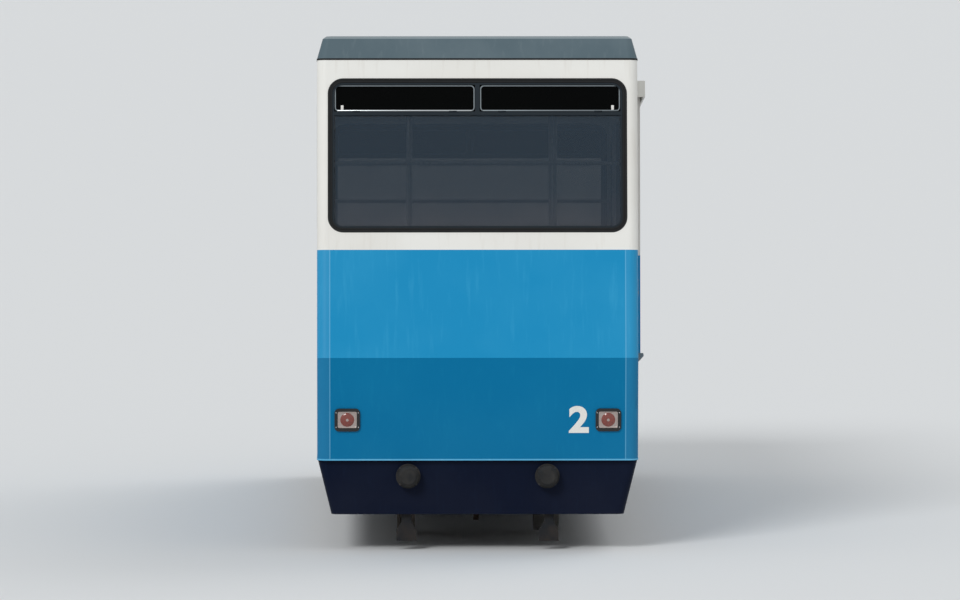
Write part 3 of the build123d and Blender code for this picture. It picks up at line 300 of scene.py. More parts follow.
def enamel(name, fresh, faded, chalk=0.3, runs=0.4, dust=0.0, dust_top=0.9, sky_lit_fade=0.0, corner_highlight=0.0, roughness=0.42,
           shine=0.2, above_band=None):
    """Sprayed enamel. chalk, runs and dust are how far each takes over, and dust_top is where dust begins. The
    amount given for the sky side paints what faces up paler: a painted sky highlight, with some sun fading. The
    amount given for the corners paints the rounded corner pieces of the ends lighter, with a lighter line where they
    begin: painted highlights. above_band is another colour above the band's height."""
    f = Finish(name, upright=True)
    patch = f.noise(PATCH_SIZE, 4)
    paint = f.mix(f.ramp(patch, 0.42, 0.72, high=chalk), fresh, faded)
    run = f.noise(1, 3, f.mapped({"Scale": (1 / RUN_WIDTH, 1 / RUN_WIDTH, 1 / RUN_LENGTH)}))
    paint = f.mix(f.ramp(run, 0.56, 0.78, high=runs), paint, faded)
    low = f.ramp(f.axis("Z"), dust_top, dust_top - DUST_DEPTH, high=dust)
    paint = f.mix(f.maths("MULTIPLY", low, patch), paint, DUST)
    # Painted sky highlight, with some sun fading: faces that look up are painted paler.
    if sky_lit_fade:
        paint = f.mix(f.ramp(f.facing_up(), 0.42, 0.75, high=sky_lit_fade), paint, SKY_LIT_PALE)
    # Painted highlights: the rounded corner pieces of the ends are painted lighter, with a lighter line where they
    # begin.
    if corner_highlight:
        side = f.maths("ABSOLUTE", f.axis("X"))
        from_seam = f.maths("SUBTRACT", side, SEAM_X)
        beyond = f.maths("GREATER_THAN", from_seam, SEAM_HALF)
        corner = f.maths("MULTIPLY", beyond, f.maths("LESS_THAN", side, CORNER_X))
        paint = f.mix(f.maths("MULTIPLY", corner, corner_highlight), paint, CORNER_HIGHLIGHT)
        groove = f.maths("LESS_THAN", f.maths("ABSOLUTE", from_seam), SEAM_HALF)
        paint = f.mix(f.maths("MULTIPLY", groove, SEAM_HIGHLIGHT_SHARE), paint, SEAM_HIGHLIGHT)
    if above_band:
        paint = f.mix(f.maths("GREATER_THAN", f.axis("Z"), BAND_Z), paint, above_band)
    skin = f.bump(f.noise(PEEL_SIZE, 1), 0.04, 0.001, below=f.bump(f.noise(SHEET_WAVE, 0), 0.25, 0.01))
    matt = f.ramp(patch, low=roughness - 0.06, high=roughness + 0.12)
    return f.done({"Base Color": paint, "Roughness": matt, "Normal": skin, "Specular IOR Level": shine})


finishes = {
    "white_paint": enamel("white_enamel", "#e7e6e1", "#d6d2ca", chalk=0.4, runs=0.45),
    "pale_blue_paint": enamel("pale_blue_enamel", "#55a9d2", "#7fbfdc"),
    "light_blue_paint": enamel("light_blue_enamel", "#0089bc", "#2f9cca", corner_highlight=0.07),
    # The lower panels have the same blue as the upper ones; this darker blue is painted shade on panels that lean in
    # under the crease. Its dust is real.
    "mid_blue_paint": enamel("blue_enamel_darkened_as_shade", "#00709f", "#0c7aa6", dust=0.04, corner_highlight=0.05, shine=0.09),
    "navy_paint": enamel("navy_enamel", "#020f26", "#0a1c33", runs=0.3, dust=0.07, dust_top=0.75, shine=0.06),
    # The roof's upward faces are painted paler: a painted sky highlight, with some sun fading.
    "roof_paint": enamel("grey_roof_enamel", "#54656d", "#6f7d83", chalk=0.6, runs=0.3, sky_lit_fade=0.45,
                         roughness=0.6),
}
print("enamels", len(finishes))

# %% [markdown]
# The door leaves and the joint strips carry the same bands as the body, white above and light blue below, so one
# material holds both and changes over at the height of the band.

# %% Banded enamel
finishes["banded_paint"] = enamel("banded_enamel", "#0089bc", "#2f9cca", corner_highlight=0.07, above_band="#dfdcd8")
print("finishes", sorted(finishes))

# %% [markdown]
# Tinted safety glass: two sheets of float glass with a grey-blue film between them. A real pane passes about a
# third of the light. Cycles sees both faces of each pane, so every face takes its share through alpha, and the
# smooth surface keeps its reflection. Dust gathers in the lowest hand's breadth above the rubber.

# %% Tinted glass
SMEAR_SIZE = 0.25
DUST_BAND, DUST_SHARE = 0.28, 0.30
GLASS_DUST = "#6a6062"


def tinted_glass(name, tint, alpha, dust_from=None, shine=0.5):
    """Glass that covers what is behind it by alpha at each face."""
    f = Finish(name, upright=True)
    smear = f.noise(SMEAR_SIZE, 5)
    colour = srgb(tint)
    if dust_from is not None:
        low = f.ramp(f.axis("Z"), dust_from + DUST_BAND, dust_from, high=DUST_SHARE)
        colour = f.mix(f.maths("MULTIPLY", low, smear), tint, GLASS_DUST)
    return f.done({"Base Color": colour, "Roughness": f.ramp(smear, low=0.02, high=0.10), "Alpha": alpha,
                   "Specular IOR Level": shine, "IOR": 1.5})


finishes["tinted_glass"] = tinted_glass("tinted_side_glass", "#1a2734", 0.46, dust_from=2.08)
finishes["windscreen_glass"] = tinted_glass("tinted_windscreen_glass", "#1d303f", 0.61, dust_from=2.06, shine=0.45)
# The top lights are near black, nearly opaque and barely reflect: painted shade for the dark behind them.
finishes["top_light_glass"] = tinted_glass("top_light_glass_painted_shade", "#020303", 0.97, shine=0.04)
print("glass", finishes["windscreen_glass"].name)

# %% [markdown]
# Extruded rubber holds the panes. It is EPDM, a matt black rubber that greys as it ages, with a faint bloom.
# The buffers and the springs are thicker natural rubber, dusty where the track throws grit at them.

# %% Rubbers
BLOOM_SIZE, RUBBER_GRAIN = 0.09, 0.003


def rubber(name, fresh, aged, dust=0.2):
    """Matt rubber, greyed by bloom or dust."""
    f = Finish(name)
    grey = f.ramp(f.noise(BLOOM_SIZE, 5), 0.35, 0.75, high=dust)
    return f.done({"Base Color": f.mix(grey, fresh, aged), "Roughness": 0.7, "Specular IOR Level": 0.3,
                   "Normal": f.bump(f.noise(RUBBER_GRAIN, 2), 0.15, 0.0005)})


finishes["seal_rubber"] = rubber("black_window_rubber", "#0b0c0d", "#24272a")
finishes["buffer_rubber"] = rubber("buffer_rubber", "#17181a", "#3b3834", dust=0.6)
finishes["spring_rubber"] = rubber("spring_rubber", "#1a1a1a", "#4a4238", dust=0.8)
print("rubbers", 3)

# %% [markdown]
# Metals. The window frames and guides are anodised aluminium extrusions, dull after years outside. The handrails
# are brushed stainless steel, with the grain along their length.

# %% Aluminium and stainless steel


def drawn_metal(name, tone, shade, roughness, grain=(0.4, 0.002, 0.002)):
    """Metal drawn or brushed along one axis, with a grain of the given size along X, Y and Z."""
    f = Finish(name)
    lines = f.noise(1, 3, f.mapped({"Scale": tuple(1 / size for size in grain)}))
    return f.done({"Base Color": f.mix(lines, tone, shade), "Metallic": 1.0,
                   "Roughness": f.ramp(lines, low=roughness - 0.08, high=roughness + 0.08)})


finishes["aluminium"] = drawn_metal("dull_anodised_aluminium", "#7e8589", "#6a7175", 0.45)
finishes["dark_aluminium"] = drawn_metal("dark_anodised_aluminium", "#2b3136", "#22272b", 0.5)
finishes["bright_aluminium"] = drawn_metal("bright_aluminium", "#c9cdcf", "#aeb3b6", 0.32)
finishes["rail_steel"] = drawn_metal("brushed_stainless_steel", "#b9bbbc", "#9da0a2", 0.28,
                                     grain=(0.003, 0.003, 0.2))
finishes["reflector"] = drawn_metal("polished_lamp_reflector", "#c9bcb6", "#a89a94", 0.25, grain=(0.01, 0.01, 0.01))
print("metals", 5)

# %% [markdown]
# Wheels are rolled steel, brown with brake dust. They are polished bright where they run on the rail, and the
# brake disc between them is bright where the pads rub it, so the finish goes by the distance from the axle.

# %% Wheel steel
AXLE_Y, AXLE_Z = 2.0, 0.322
TREAD_RADIUS = 0.300
DISC_FACE = 0.020
PAD_INSIDE, PAD_OUTSIDE = 0.132, 0.214
GRIT_SIZE = 0.03


def wheel_steel():
    """Brown dusty steel, polished where the tread runs on the rail and where the pads rub the brake disc."""
    f = Finish("rolled_wheel_steel")
    y = f.maths("SUBTRACT", f.maths("ABSOLUTE", f.axis("Y")), AXLE_Y)
    z = f.maths("SUBTRACT", f.axis("Z"), AXLE_Z)
    from_axle = f.add("ShaderNodeCombineXYZ", {"Y": y, "Z": z})
    radius = f.add("ShaderNodeVectorMath", {0: from_axle}, out="Value", operation="LENGTH")
    tread = f.ramp(radius, TREAD_RADIUS - 0.006, TREAD_RADIUS - 0.001)
    flange = f.ramp(radius, TREAD_RADIUS + 0.004, TREAD_RADIUS + 0.010, low=1, high=0.3)
    pads = f.maths("MULTIPLY", f.ramp(radius, PAD_INSIDE - 0.004, PAD_INSIDE),
                   f.ramp(radius, PAD_OUTSIDE, PAD_OUTSIDE + 0.004, low=1, high=0))
    disc = f.maths("LESS_THAN", f.maths("ABSOLUTE", f.axis("X")), DISC_FACE + 0.001)
    bright = f.maths("MAXIMUM", f.maths("MULTIPLY", tread, flange), f.maths("MULTIPLY", pads, disc))
    grit = f.noise(GRIT_SIZE, 6)
    rust = f.mix(grit, "#3a2c24", "#5b4638")
    return f.done({"Base Color": f.mix(bright, rust, "#a9a6a2"), "Metallic": bright,
                   "Roughness": f.ramp(bright, low=0.8, high=0.28), "Normal": f.bump(grit, 0.3, 0.001)})


finishes["wheel_steel"] = wheel_steel()
print("wheel steel for a tread of radius", TREAD_RADIUS)

# %% [markdown]
# Below the floor everything is steel and cast iron under thick dark paint. Grit and brake dust settle on what
# faces up, so the dust goes by the upward part of the surface normal.

# %% Underframe paint and cast iron
GRIME_SIZE = 0.12


def grimy(name, paint, dust, amount, grain):
    """Dark painted or cast metal with dust on its upper faces and a grain of the given size."""
    f = Finish(name)
    settled = f.ramp(f.facing_up(), -0.2, 1, low=0.12, high=amount)
    cover = f.maths("MULTIPLY", settled, f.ramp(f.noise(GRIME_SIZE, 6), 0.35, 0.65))
    return f.done({"Base Color": f.mix(cover, paint, dust), "Roughness": f.ramp(cover, low=0.6, high=0.95),
                   "Specular IOR Level": 0.15, "Normal": f.bump(f.noise(grain, 3), 0.35, grain / 4)})


finishes["underframe_paint"] = grimy("dark_underframe_paint", "#1a1d21", "#54473b", 0.8, 0.004)
finishes["axlebox_casting"] = grimy("grey_iron_casting", "#33363a", "#60503f", 0.7, 0.006)
print("dirty metals", 2)

# %% [markdown]
# Moulded and lined surfaces inside: a studded rubber floor, white laminate overhead, glass-fibre seats and a
# grey control desk. The studs are 25 mm across and stand in rows 36 mm apart, which a Voronoi pattern without
# any scatter gives.

# %% Floor, ceiling, seats and desk
STUD_PITCH, STUD_HEIGHT = 0.036, 0.002


def moulded(name, tone, fleck, fleck_size, amount, grain, roughness, studs=False):
    """Plastic, laminate or glass fibre with flecks of a second tone and a moulded grain, and studs if asked."""
    f = Finish(name)
    some = f.ramp(f.noise(fleck_size, 3), 0.5, 0.62, high=amount)
    skin = f.bump(f.noise(grain, 2), 0.2, grain / 4)
    if studs:
        stud = f.add("ShaderNodeTexVoronoi", {"Vector": f.mapped({"Scale": (1, 1, 0)}), "Scale": 1 / STUD_PITCH,
                                              "Randomness": 0.0}, out="Distance")
        skin = f.bump(f.ramp(stud, 0.36, 0.30), 0.8, STUD_HEIGHT, below=skin)
    return f.done({"Base Color": f.mix(some, tone, fleck), "Normal": skin, "Roughness": roughness})


finishes["floor_covering"] = moulded("studded_rubber_floor", "#3a3e42", "#54595d", 0.004, 0.5, 0.002, 0.7,
                                     studs=True)
finishes["ceiling_panel"] = moulded("white_ceiling_laminate", "#d8d8d3", "#cdccc5", 0.02, 0.4, 0.003, 0.55)
finishes["seat_shell"] = moulded("glass_fibre_seat_shell", "#2f5f8c", "#3f6f9b", 0.006, 0.5, 0.004, 0.4)
finishes["desk_plastic"] = moulded("grey_moulded_desk", "#4c5054", "#5b6064", 0.003, 0.5, 0.0015, 0.6)
finishes["lamp_plastic"] = moulded("black_lamp_plastic", "#0d0e10", "#1b1c1f", 0.004, 0.4, 0.002, 0.5)
print("lined surfaces", 5)

# %% [markdown]
# Each lamp has a lens of red-brown polycarbonate, glossy and slightly hazy. The colour is deep in the middle and
# lighter towards the rim, where the dome turns away: a painted sheen. Layer Weight gives that and stays with the
# surface.

# %% Lamp lens
HAZE_SIZE = 0.012


def lens_plastic():
    """Clear red-brown plastic with a little haze in it."""
    f = Finish("red_brown_lens")
    # The rim is painted lighter by Layer Weight, a painted sheen where the dome turns away.
    rim = f.add("ShaderNodeLayerWeight", {"Blend": 0.4}, out="Facing")
    glow = f.mix(rim, "#8c3a2e", "#c46a54")
    return f.done({"Base Color": f.mix(f.noise(HAZE_SIZE, 4), glow, "#5e2a22"), "Roughness": 0.12,
                   "Coat Weight": 0.6})


finishes["lamp_lens"] = lens_plastic()
print("lens", finishes["lamp_lens"].name)

# %% [markdown]
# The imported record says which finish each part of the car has. Most parts take that one. The doors, the
# windscreens and the small top lights take their own variants.

# %% Finish every part of the frame
OWN_FINISH = {"windscreens": "windscreen_glass", "top_lights": "top_light_glass",
              "windscreen_frames": "dark_aluminium"}

for part in frame["record"]["subparts"]:
    name = part["node"]
    finish = "banded_paint" if name.endswith("_leaf") else OWN_FINISH.get(name, part["material_slot"])
    for slot in nodes[name].material_slots:
        slot.material = finishes[finish]

# %% [markdown]
# Shapes. Most fittings of the car come from a few stock forms, made as closed meshes by bmesh operators, so that one
# outline and a few lengths say it all. The first of them are a rounded sheet and a ring round an opening.

# %% Sheets and rings


def moved(shape, place):
    """The same shape, carried to a place."""
    bmesh.ops.transform(shape, matrix=place, verts=shape.verts)
    return shape


def joined(*shapes):
    """Several shapes as one mesh."""
    whole = bmesh.new()
    for shape in shapes:
        pattern = bpy.data.meshes.new("pattern")
        shape.to_mesh(pattern)
        shape.free()
        whole.from_mesh(pattern)
        bpy.data.meshes.remove(pattern)
    return whole


def copies(shape, places):
    """One mesh that holds a copy of the shape at each place."""
    whole = joined(*[moved(shape.copy(), place) for place in places])
    shape.free()
    return whole


def rounded_sheet(width, height, radius, steps=6):
    """A flat rectangle with rounded corners in the XY plane."""
    bm = bmesh.new()
    bmesh.ops.create_grid(bm, x_segments=1, y_segments=1, size=0.5)
    bmesh.ops.scale(bm, vec=(width, height, 1), verts=bm.verts)
    bmesh.ops.bevel(bm, geom=list(bm.verts), offset=radius, segments=steps, profile=0.5,
                    affect="VERTICES", material=-1)
    return bm


def thicken(bm, depth):
    """Gives an open sheet a depth below it, so that it becomes a closed solid."""
    made = bmesh.ops.extrude_face_region(bm, geom=list(bm.faces))
    lower = [v for v in made["geom"] if isinstance(v, bmesh.types.BMVert)]
    bmesh.ops.translate(bm, vec=(0, 0, -depth), verts=lower)
    bmesh.ops.recalc_face_normals(bm, faces=bm.faces)
    return bm


def stepped_sheet(width, height, radius, profile, steps=6):
    """A rounded sheet that steps in from its edge by (inwards, up) pairs, and the face left in its middle."""
    bm = rounded_sheet(width, height, radius, steps)
    middle = next(iter(bm.faces))
    for inwards, up in profile:
        bmesh.ops.inset_region(bm, faces=[middle], thickness=inwards, depth=up, use_boundary=True,
                               use_even_offset=True)
    return bm, middle


def ring(width, height, radius, profile, depth, steps=6):
    """A solid ring round an opening, with the stepped profile on its upper side."""
    bm, middle = stepped_sheet(width, height, radius, profile, steps)
    bmesh.ops.delete(bm, geom=[middle], context="FACES")
    return thicken(bm, depth)


print("sheets and rings ready")

# %% [markdown]
# A finished shape becomes a piece of the car: it gets its finish and the body it rides on. Edges sharper than 35
# degrees stay sharp.


def mount(name, data, finish, body):
    """Puts finished data on a body of the car."""
    data.materials.append(finishes[finish])
    piece = in_scene(name, data)
    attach(piece, body)
    return piece


def make(name, shape, finish, places=None, body="car", sharp=35):
    """Turns a shape, or its copies at several places, into a finished piece of the car."""
    shape = copies(shape, places) if places else shape
    bmesh.ops.recalc_face_normals(shape, faces=shape.faces)
    for face in shape.faces:
        face.smooth = True
    for edge in shape.edges:
        if edge.is_manifold and edge.calc_face_angle() > math.radians(sharp):
            edge.smooth = False
    mesh = bpy.data.meshes.new(name)
    shape.to_mesh(mesh)
    shape.free()
    print(name, len(mesh.polygons), "faces")
    return mount(name, mesh, finish, body)


print("piece tools ready")

# %% [markdown]
# Each windscreen hangs in an extruded rubber, pushed on the edge of the panel and locked by a thin filler strip.
# The strip leaves a fine groove round the whole pane. One outline, inset step by step, gives that profile. The
# side windows have a smaller rubber of the same kind.

# %% Window rubbers
WINDSCREEN_Z, WINDSCREEN_SIZE, WINDSCREEN_RADIUS = 2.60, (2.24, 1.1656), 0.115
SIDE_WINDOW_Z, SIDE_WINDOW_HEIGHT, SIDE_WINDOW_RADIUS = 2.55, 0.98, 0.09
# columns: step inwards, step up
WINDSCREEN_PROFILE = [(0.001, 0.003), (0.003, 0.003), (0.011, 0), (0.002, -0.003), (0.004, 0), (0.002, 0.003),
                      (0.008, 0), (0.003, -0.003), (0.001, -0.003)]
SIDE_PROFILE = [(0.001, 0.0015), (0.002, 0.0015), (0.010, 0), (0.002, -0.002), (0.003, 0), (0.002, 0.002),
                (0.007, 0), (0.002, -0.002), (0.001, -0.003)]
# columns: right side, y along the body, width
SIDE_WINDOWS = [
    (False, -2.34375, 1.4125), (False, -0.78125, 1.4125), (False, 0.78125, 1.4125), (False, 2.34375, 1.4125),
    (True, -2.775, 0.55), (True, -0.5375, 0.925), (True, 0.5375, 0.925), (True, 2.775, 0.55),
]

shape = ring(*WINDSCREEN_SIZE, WINDSCREEN_RADIUS, WINDSCREEN_PROFILE, WALL, steps=8)
windscreen_rubber = make("windscreen_rubber", shape, "seal_rubber", [on_end(WINDSCREEN_Z, end) for end in BOTH_ENDS])
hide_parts("windscreen_seals")

shapes = [moved(ring(width, SIDE_WINDOW_HEIGHT, SIDE_WINDOW_RADIUS, SIDE_PROFILE, WALL),
                on_side(y, SIDE_WINDOW_Z, right)) for right, y, width in SIDE_WINDOWS]
side_window_rubber = make("side_window_rubber", joined(*shapes), "seal_rubber")
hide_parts("side_window_seals")

# %% [markdown]
# Plates and turned parts. A plate is a thickened sheet. Bolts, screws and hinges are turned: half of the section
# spins round the axis, as on a lathe, and a hexagon bolt needs no more than six steps.

# %% Plates and turned parts


def plate(width, height, depth, radius=0.003, soften=0.0, steps=4):
    """A plate from Z 0 up to its depth, with rounded corners and, if asked, a softened upper edge."""
    bm = moved(thicken(rounded_sheet(width, height, radius, steps), depth), at(0, 0, depth))
    if soften:
        top = [e for e in bm.edges if all(v.co.z > depth - 1e-6 for v in e.verts)]
        bmesh.ops.bevel(bm, geom=top, offset=soften, segments=2, profile=0.5, affect="EDGES", material=-1)
    return bm


def turned(profile, steps=24):
    """A turned solid about Z from (radius, height) pairs, closed with flat faces where it stops off the axis."""
    bm = bmesh.new()
    line = [bm.verts.new((radius, 0, height)) for radius, height in profile]
    edges = [bm.edges.new(pair) for pair in zip(line, line[1:])]
    bmesh.ops.spin(bm, geom=line + edges, axis=(0, 0, 1), cent=(0, 0, 0), angle=2 * math.pi, steps=steps,
                   use_merge=True)
    bmesh.ops.remove_doubles(bm, verts=bm.verts, dist=1e-5)
    bmesh.ops.holes_fill(bm, edges=[e for e in bm.edges if e.is_boundary])
    bmesh.ops.recalc_face_normals(bm, faces=bm.faces)
    return bm


print("plates and turned parts ready")

# %% [markdown]
# The strip of dark panes above the transom is two hopper windows. Each has a slim aluminium frame, two hinges at
# the bottom and a white catch at its outer end. The bottom rail is the brightest line on the whole windscreen,
# since its upper side faces the sky.

# %% Hopper windows
HOPPER_LOW, HOPPER_HIGH = 0.3315, 0.5338
HOPPER_IN, HOPPER_OUT = 0.017, 1.071
HOPPER_PROFILE = [(0.001, 0.001), (0.007, 0), (0.001, -0.001)]
HINGE_X, CATCH_X, CATCH_LIFT = 0.36, 1.012, 0.030
HOPPER_SINK = -0.012

middle_x, middle_y = (HOPPER_IN + HOPPER_OUT) / 2, (HOPPER_LOW + HOPPER_HIGH) / 2
width, height = HOPPER_OUT - HOPPER_IN - 0.006, HOPPER_HIGH - HOPPER_LOW - 0.004
screens = [(on_end(WINDSCREEN_Z, end), side) for end in BOTH_ENDS for side in SIDES]
hoppers = [screen @ at(side * middle_x, middle_y, 0) for screen, side in screens]
make("hopper_frames", ring(width, height, 0.030, HOPPER_PROFILE, 0.016, steps=4), "aluminium",
     [hopper @ at(0, 0, HOPPER_SINK) for hopper in hoppers])

# The left rails of each end take the bright aluminium and the right ones the dull aluminium of the frames: the
# brighter left rails carry painted glare, though both are the same extrusion.
for first, finish in enumerate(("bright_aluminium", "aluminium")):
    rail = plate(width - 0.04, 0.009, 0.010, radius=0.004, soften=0.002, steps=2)
    make(f"hopper_bottom_rails_{first + 1}", rail, finish,
         [hopper @ at(0, -height / 2 + 0.005, -0.008) for hopper in hoppers[first::2]])

hinge = turned([(0, -0.030), (0.005, -0.030), (0.006, -0.028), (0.006, 0.028), (0.005, 0.030), (0, 0.030)], 10)
make("hopper_hinges", hinge, "dark_aluminium",
     [hopper @ at(x, -height / 2 - 0.002, 0) @ spin(90, "Y") for hopper in hoppers for x in (-HINGE_X, HINGE_X)])

base = plate(0.020, 0.036, 0.004, radius=0.004, soften=0.001, steps=3)
lever = plate(0.010, 0.030, 0.008, radius=0.004, soften=0.002, steps=3)
lever = moved(lever, at(0, -0.004, 0.004) @ Matrix.Rotation(0.5, 4, "Z"))
make("hopper_catches", joined(base, lever), "white_paint",
     [screen @ at(side * CATCH_X, HOPPER_LOW + CATCH_LIFT, HOPPER_SINK) for screen, side in screens])

# %% [markdown]
# A thin drip rail of dark rubber runs round the foot of the roof and keeps rain off the doors. A second thin
# profile, painted pale blue, closes the bottom edge of the blue panels, where they meet the dark apron. It shows
# as one light line across the nose. Both follow the plan of the body, a long rectangle with rounded corners.

# %% Drip rail and bottom edge strip
CORNER_RADIUS = 0.07
PROUD = 0.0028
DRIP_HEIGHT = 0.012
EDGE_LOW, EDGE_HEIGHT = 0.680, 0.010
EDGE_DOWNHILL, EDGE_UPHILL = -3.5245, 3.5361


def hoop(length, height):
    """A thin strip round the plan of the body, a little proud of it, with its top at Z 0."""
    return ring(2 * (HALF_WIDTH + PROUD), length + 2 * PROUD, CORNER_RADIUS + PROUD, [(0.001, 0.001), (0.010, 0)],
                height)


make("drip_rail", hoop(2 * end_reach(ROOF_EDGE_Z - DRIP_HEIGHT / 2), DRIP_HEIGHT), "seal_rubber",
     [on_level(0, 0, ROOF_EDGE_Z)])
make("bottom_edge_strip", hoop(EDGE_UPHILL - EDGE_DOWNHILL, EDGE_HEIGHT), "pale_blue_paint",
     [at(0, (EDGE_UPHILL + EDGE_DOWNHILL) / 2, EDGE_LOW + EDGE_HEIGHT)])

# %% [markdown]
# Lamps. Behind each lens lies a stamped reflector, nearly square, that fills the black surround. The lens is a
# red-brown dome with fine rings pressed into it. A small polished disc in its middle is a painted highlight,
# standing in for the bright spot of light on the lens. Four small screws hold the surround.

# %% Lamps
LAMP_X, LAMP_FLOOR = 0.975, 0.004
LENS_RADIUS, LENS_RISE = 0.052, 0.0095
RINGS, RING_START, RING_ANGLE, RING_SINK = 9, 8, 9, 0.0008
HIGHLIGHT_DISC_RADIUS = 0.012
SURROUND_FACE = 0.0138
# columns: uphill end, level z
LAMP_LEVELS = [(False, 0.62), (True, 1.25)]

lamps = [on_end(z, uphill, side * LAMP_X) for uphill, z in LAMP_LEVELS for side in SIDES]
floors = [lamp @ at(0, 0, LAMP_FLOOR) for lamp in lamps]
dish, middle = stepped_sheet(0.143, 0.125, 0.011, [(0.0005, 0.003), (0.006, 0.0005), (0.004, -0.003)], steps=3)
make("lamp_reflectors", thicken(dish, 0.0005), "reflector", floors)

profile = [(0, 0), (LENS_RADIUS + 0.0005, 0)]
for i in range(RINGS):
    for part, sink in ((0, 0), (0.75, RING_SINK)):
        angle = math.radians(RING_START + RING_ANGLE * (i + part))
        if LENS_RADIUS * math.cos(angle) > HIGHLIGHT_DISC_RADIUS:
            profile.append((LENS_RADIUS * math.cos(angle), LENS_RISE * math.sin(angle) - sink))
dome = turned(profile + [(HIGHLIGHT_DISC_RADIUS - 0.001, 0.0085), (0, 0.0085)], 36)
lenses = make("ribbed_lamp_lenses", dome, "lamp_lens", floors, sharp=50)
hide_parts("lamp_lenses")

# A pale polished disc in the middle of each lens: a painted highlight.
highlight_disc = turned([(0, 0.008), (0.0105, 0.008), (0.0105, 0.0092), (0.006, 0.0098), (0, 0.0100)], 20)
make("lamp_highlight_discs", highlight_disc, "reflector", floors)

screw = turned([(0, 0), (0.0045, 0), (0.0045, 0.001), (0.003, 0.0018), (0, 0.002)], 10)
make("lamp_screws", screw, "rail_steel",
     [lamp @ at(x, y, SURROUND_FACE) for lamp in lamps for x in (-0.083, 0.083) for y in (-0.055, 0.055)])

# %% [markdown]
# The car's number is a plain white numeral, cut from film and laid on the panel beside the right lamp. The text
# is made a mesh first and then scaled to the size read off the picture, 150 by 205 millimetres.

# %% Car number
NUMBER_X, NUMBER_Z = 0.755, 0.622
NUMBER_SIZE = (0.150, 0.205)
FILM = 0.0006

text = bpy.data.curves.new("number_text", "FONT")
text.body = "2"
text.offset = 0.035
text.resolution_u = 14
sketch = in_scene("number_text", text)
bpy.context.view_layer.update()
flat = bpy.data.meshes.new_from_object(sketch.evaluated_get(bpy.context.evaluated_depsgraph_get()))
bpy.data.objects.remove(sketch)
shape = bmesh.new()
shape.from_mesh(flat)
bpy.data.meshes.remove(flat)
bmesh.ops.remove_doubles(shape, verts=shape.verts, dist=1e-5)
low = Vector([min(v.co[i] for v in shape.verts) for i in range(3)])
high = Vector([max(v.co[i] for v in shape.verts) for i in range(3)])
size = Matrix.Diagonal((NUMBER_SIZE[0] / (high.x - low.x), NUMBER_SIZE[1] / (high.y - low.y), 1, 1))
shape = thicken(moved(shape, size @ at(*-(low + high) / 2)), FILM)
make("car_number", shape, "white_paint", [on_end(NUMBER_Z, False, NUMBER_X) @ at(0, 0, FILM * 1.5)])

# %% [markdown]
# Doors. Each leaf has a window in a thin rubber, a soft rubber nosing on the edge where the two leaves meet, and a
# flush pull for the staff. The leaves slide on the outside of the wall, so nothing on them stands out far.

# %% Door leaves
LEAF_X, LEAF_THICK = 1.210, 0.034
LEAF_LOW, LEAF_HIGH = 1.14, 3.152
LEAF_WINDOW_Y, LEAF_WINDOW_Z = 0.3015, 2.33
LEAF_WINDOW_WIDTH, LEAF_WINDOW_HEIGHT, LEAF_WINDOW_RADIUS = 0.4, 1.26, 0.08
LEAF_LAP = 0.008
LEAF_PROFILE = [(0.002, 0.002), (0.008, 0), (0.002, -0.001), (0.002, 0.001), (0.006, 0), (0.002, -0.003)]
NOSING_Y, NOSING_DEPTH = 0.0008, 0.026
PULL_Y, PULL_Z = 0.095, 1.50
DOOR_CENTRES = (-1.75, 1.75)
# columns: body, y of the door's middle, side of the middle that the leaf covers
LEAVES = [(f"door_{door}_{leaf}_leaf", y, side) for door, y in zip("ab", DOOR_CENTRES)
          for leaf, side in (("lower", -1), ("upper", 1))]

outside = LEAF_X + LEAF_THICK
for body, centre, side in LEAVES:
    shape = ring(LEAF_WINDOW_WIDTH + 2 * LEAF_LAP, LEAF_WINDOW_HEIGHT + 2 * LEAF_LAP, LEAF_WINDOW_RADIUS + LEAF_LAP,
                 LEAF_PROFILE, 0.006, steps=5)
    window_y = centre + side * LEAF_WINDOW_Y
    make(f"{body}_window_rubber", shape, "seal_rubber", body=body, places=[
        on_side(window_y, LEAF_WINDOW_Z, x=outside), on_side(window_y, LEAF_WINDOW_Z, x=LEAF_X) @ FLIP])

    nosing = plate(LEAF_THICK + 0.004, LEAF_HIGH - LEAF_LOW - 0.012, NOSING_DEPTH, radius=0.004, soften=0.006,
                   steps=2)
    place = on_side(centre + side * NOSING_Y, (LEAF_LOW + LEAF_HIGH) / 2, x=LEAF_X + LEAF_THICK / 2)
    make(f"{body}_nosing", nosing, "seal_rubber", [place @ spin(-side * 90, "Y") @ at(0, 0, -NOSING_DEPTH)], body)

    place = on_side(centre + side * PULL_Y, PULL_Z, x=outside)
    rim = ring(0.062, 0.150, 0.029, [(0.001, 0.001), (0.005, 0), (0.003, -0.0018)], 0.001)
    make(f"{body}_pull_rim", rim, "bright_aluminium", [place], body)
    make(f"{body}_pull_cup", plate(0.046, 0.134, 0.0006, radius=0.021, steps=6), "lamp_plastic", [place], body)

# %% [markdown]
# Round each doorway. A bulb rubber is pressed on the edge of the wall, and the closed leaves lie against it. The
# sill is a ribbed aluminium tread plate, extruded in one length and screwed to the floor edge. Outside, the lower
# guide is bolted through the side panel.

# %% Doorways and guides
DOOR_WIDTH, DOOR_HEIGHT, DOOR_RADIUS = 1.2, 1.93, 0.06
BULB = 0.010
BULB_PROFILE = [(0.002, 0.003), (0.005, 0), (0.004, -0.003), (0.0085, 0)]
SILL_X, SILL_THICK, RIB_PITCH = 1.146, 0.003, 0.011
GUIDE_X, GUIDE_Z = 1.25, 1.119


def spaced(start, step, count):
    """Evenly spaced numbers."""
    return [start + step * i for i in range(count)]


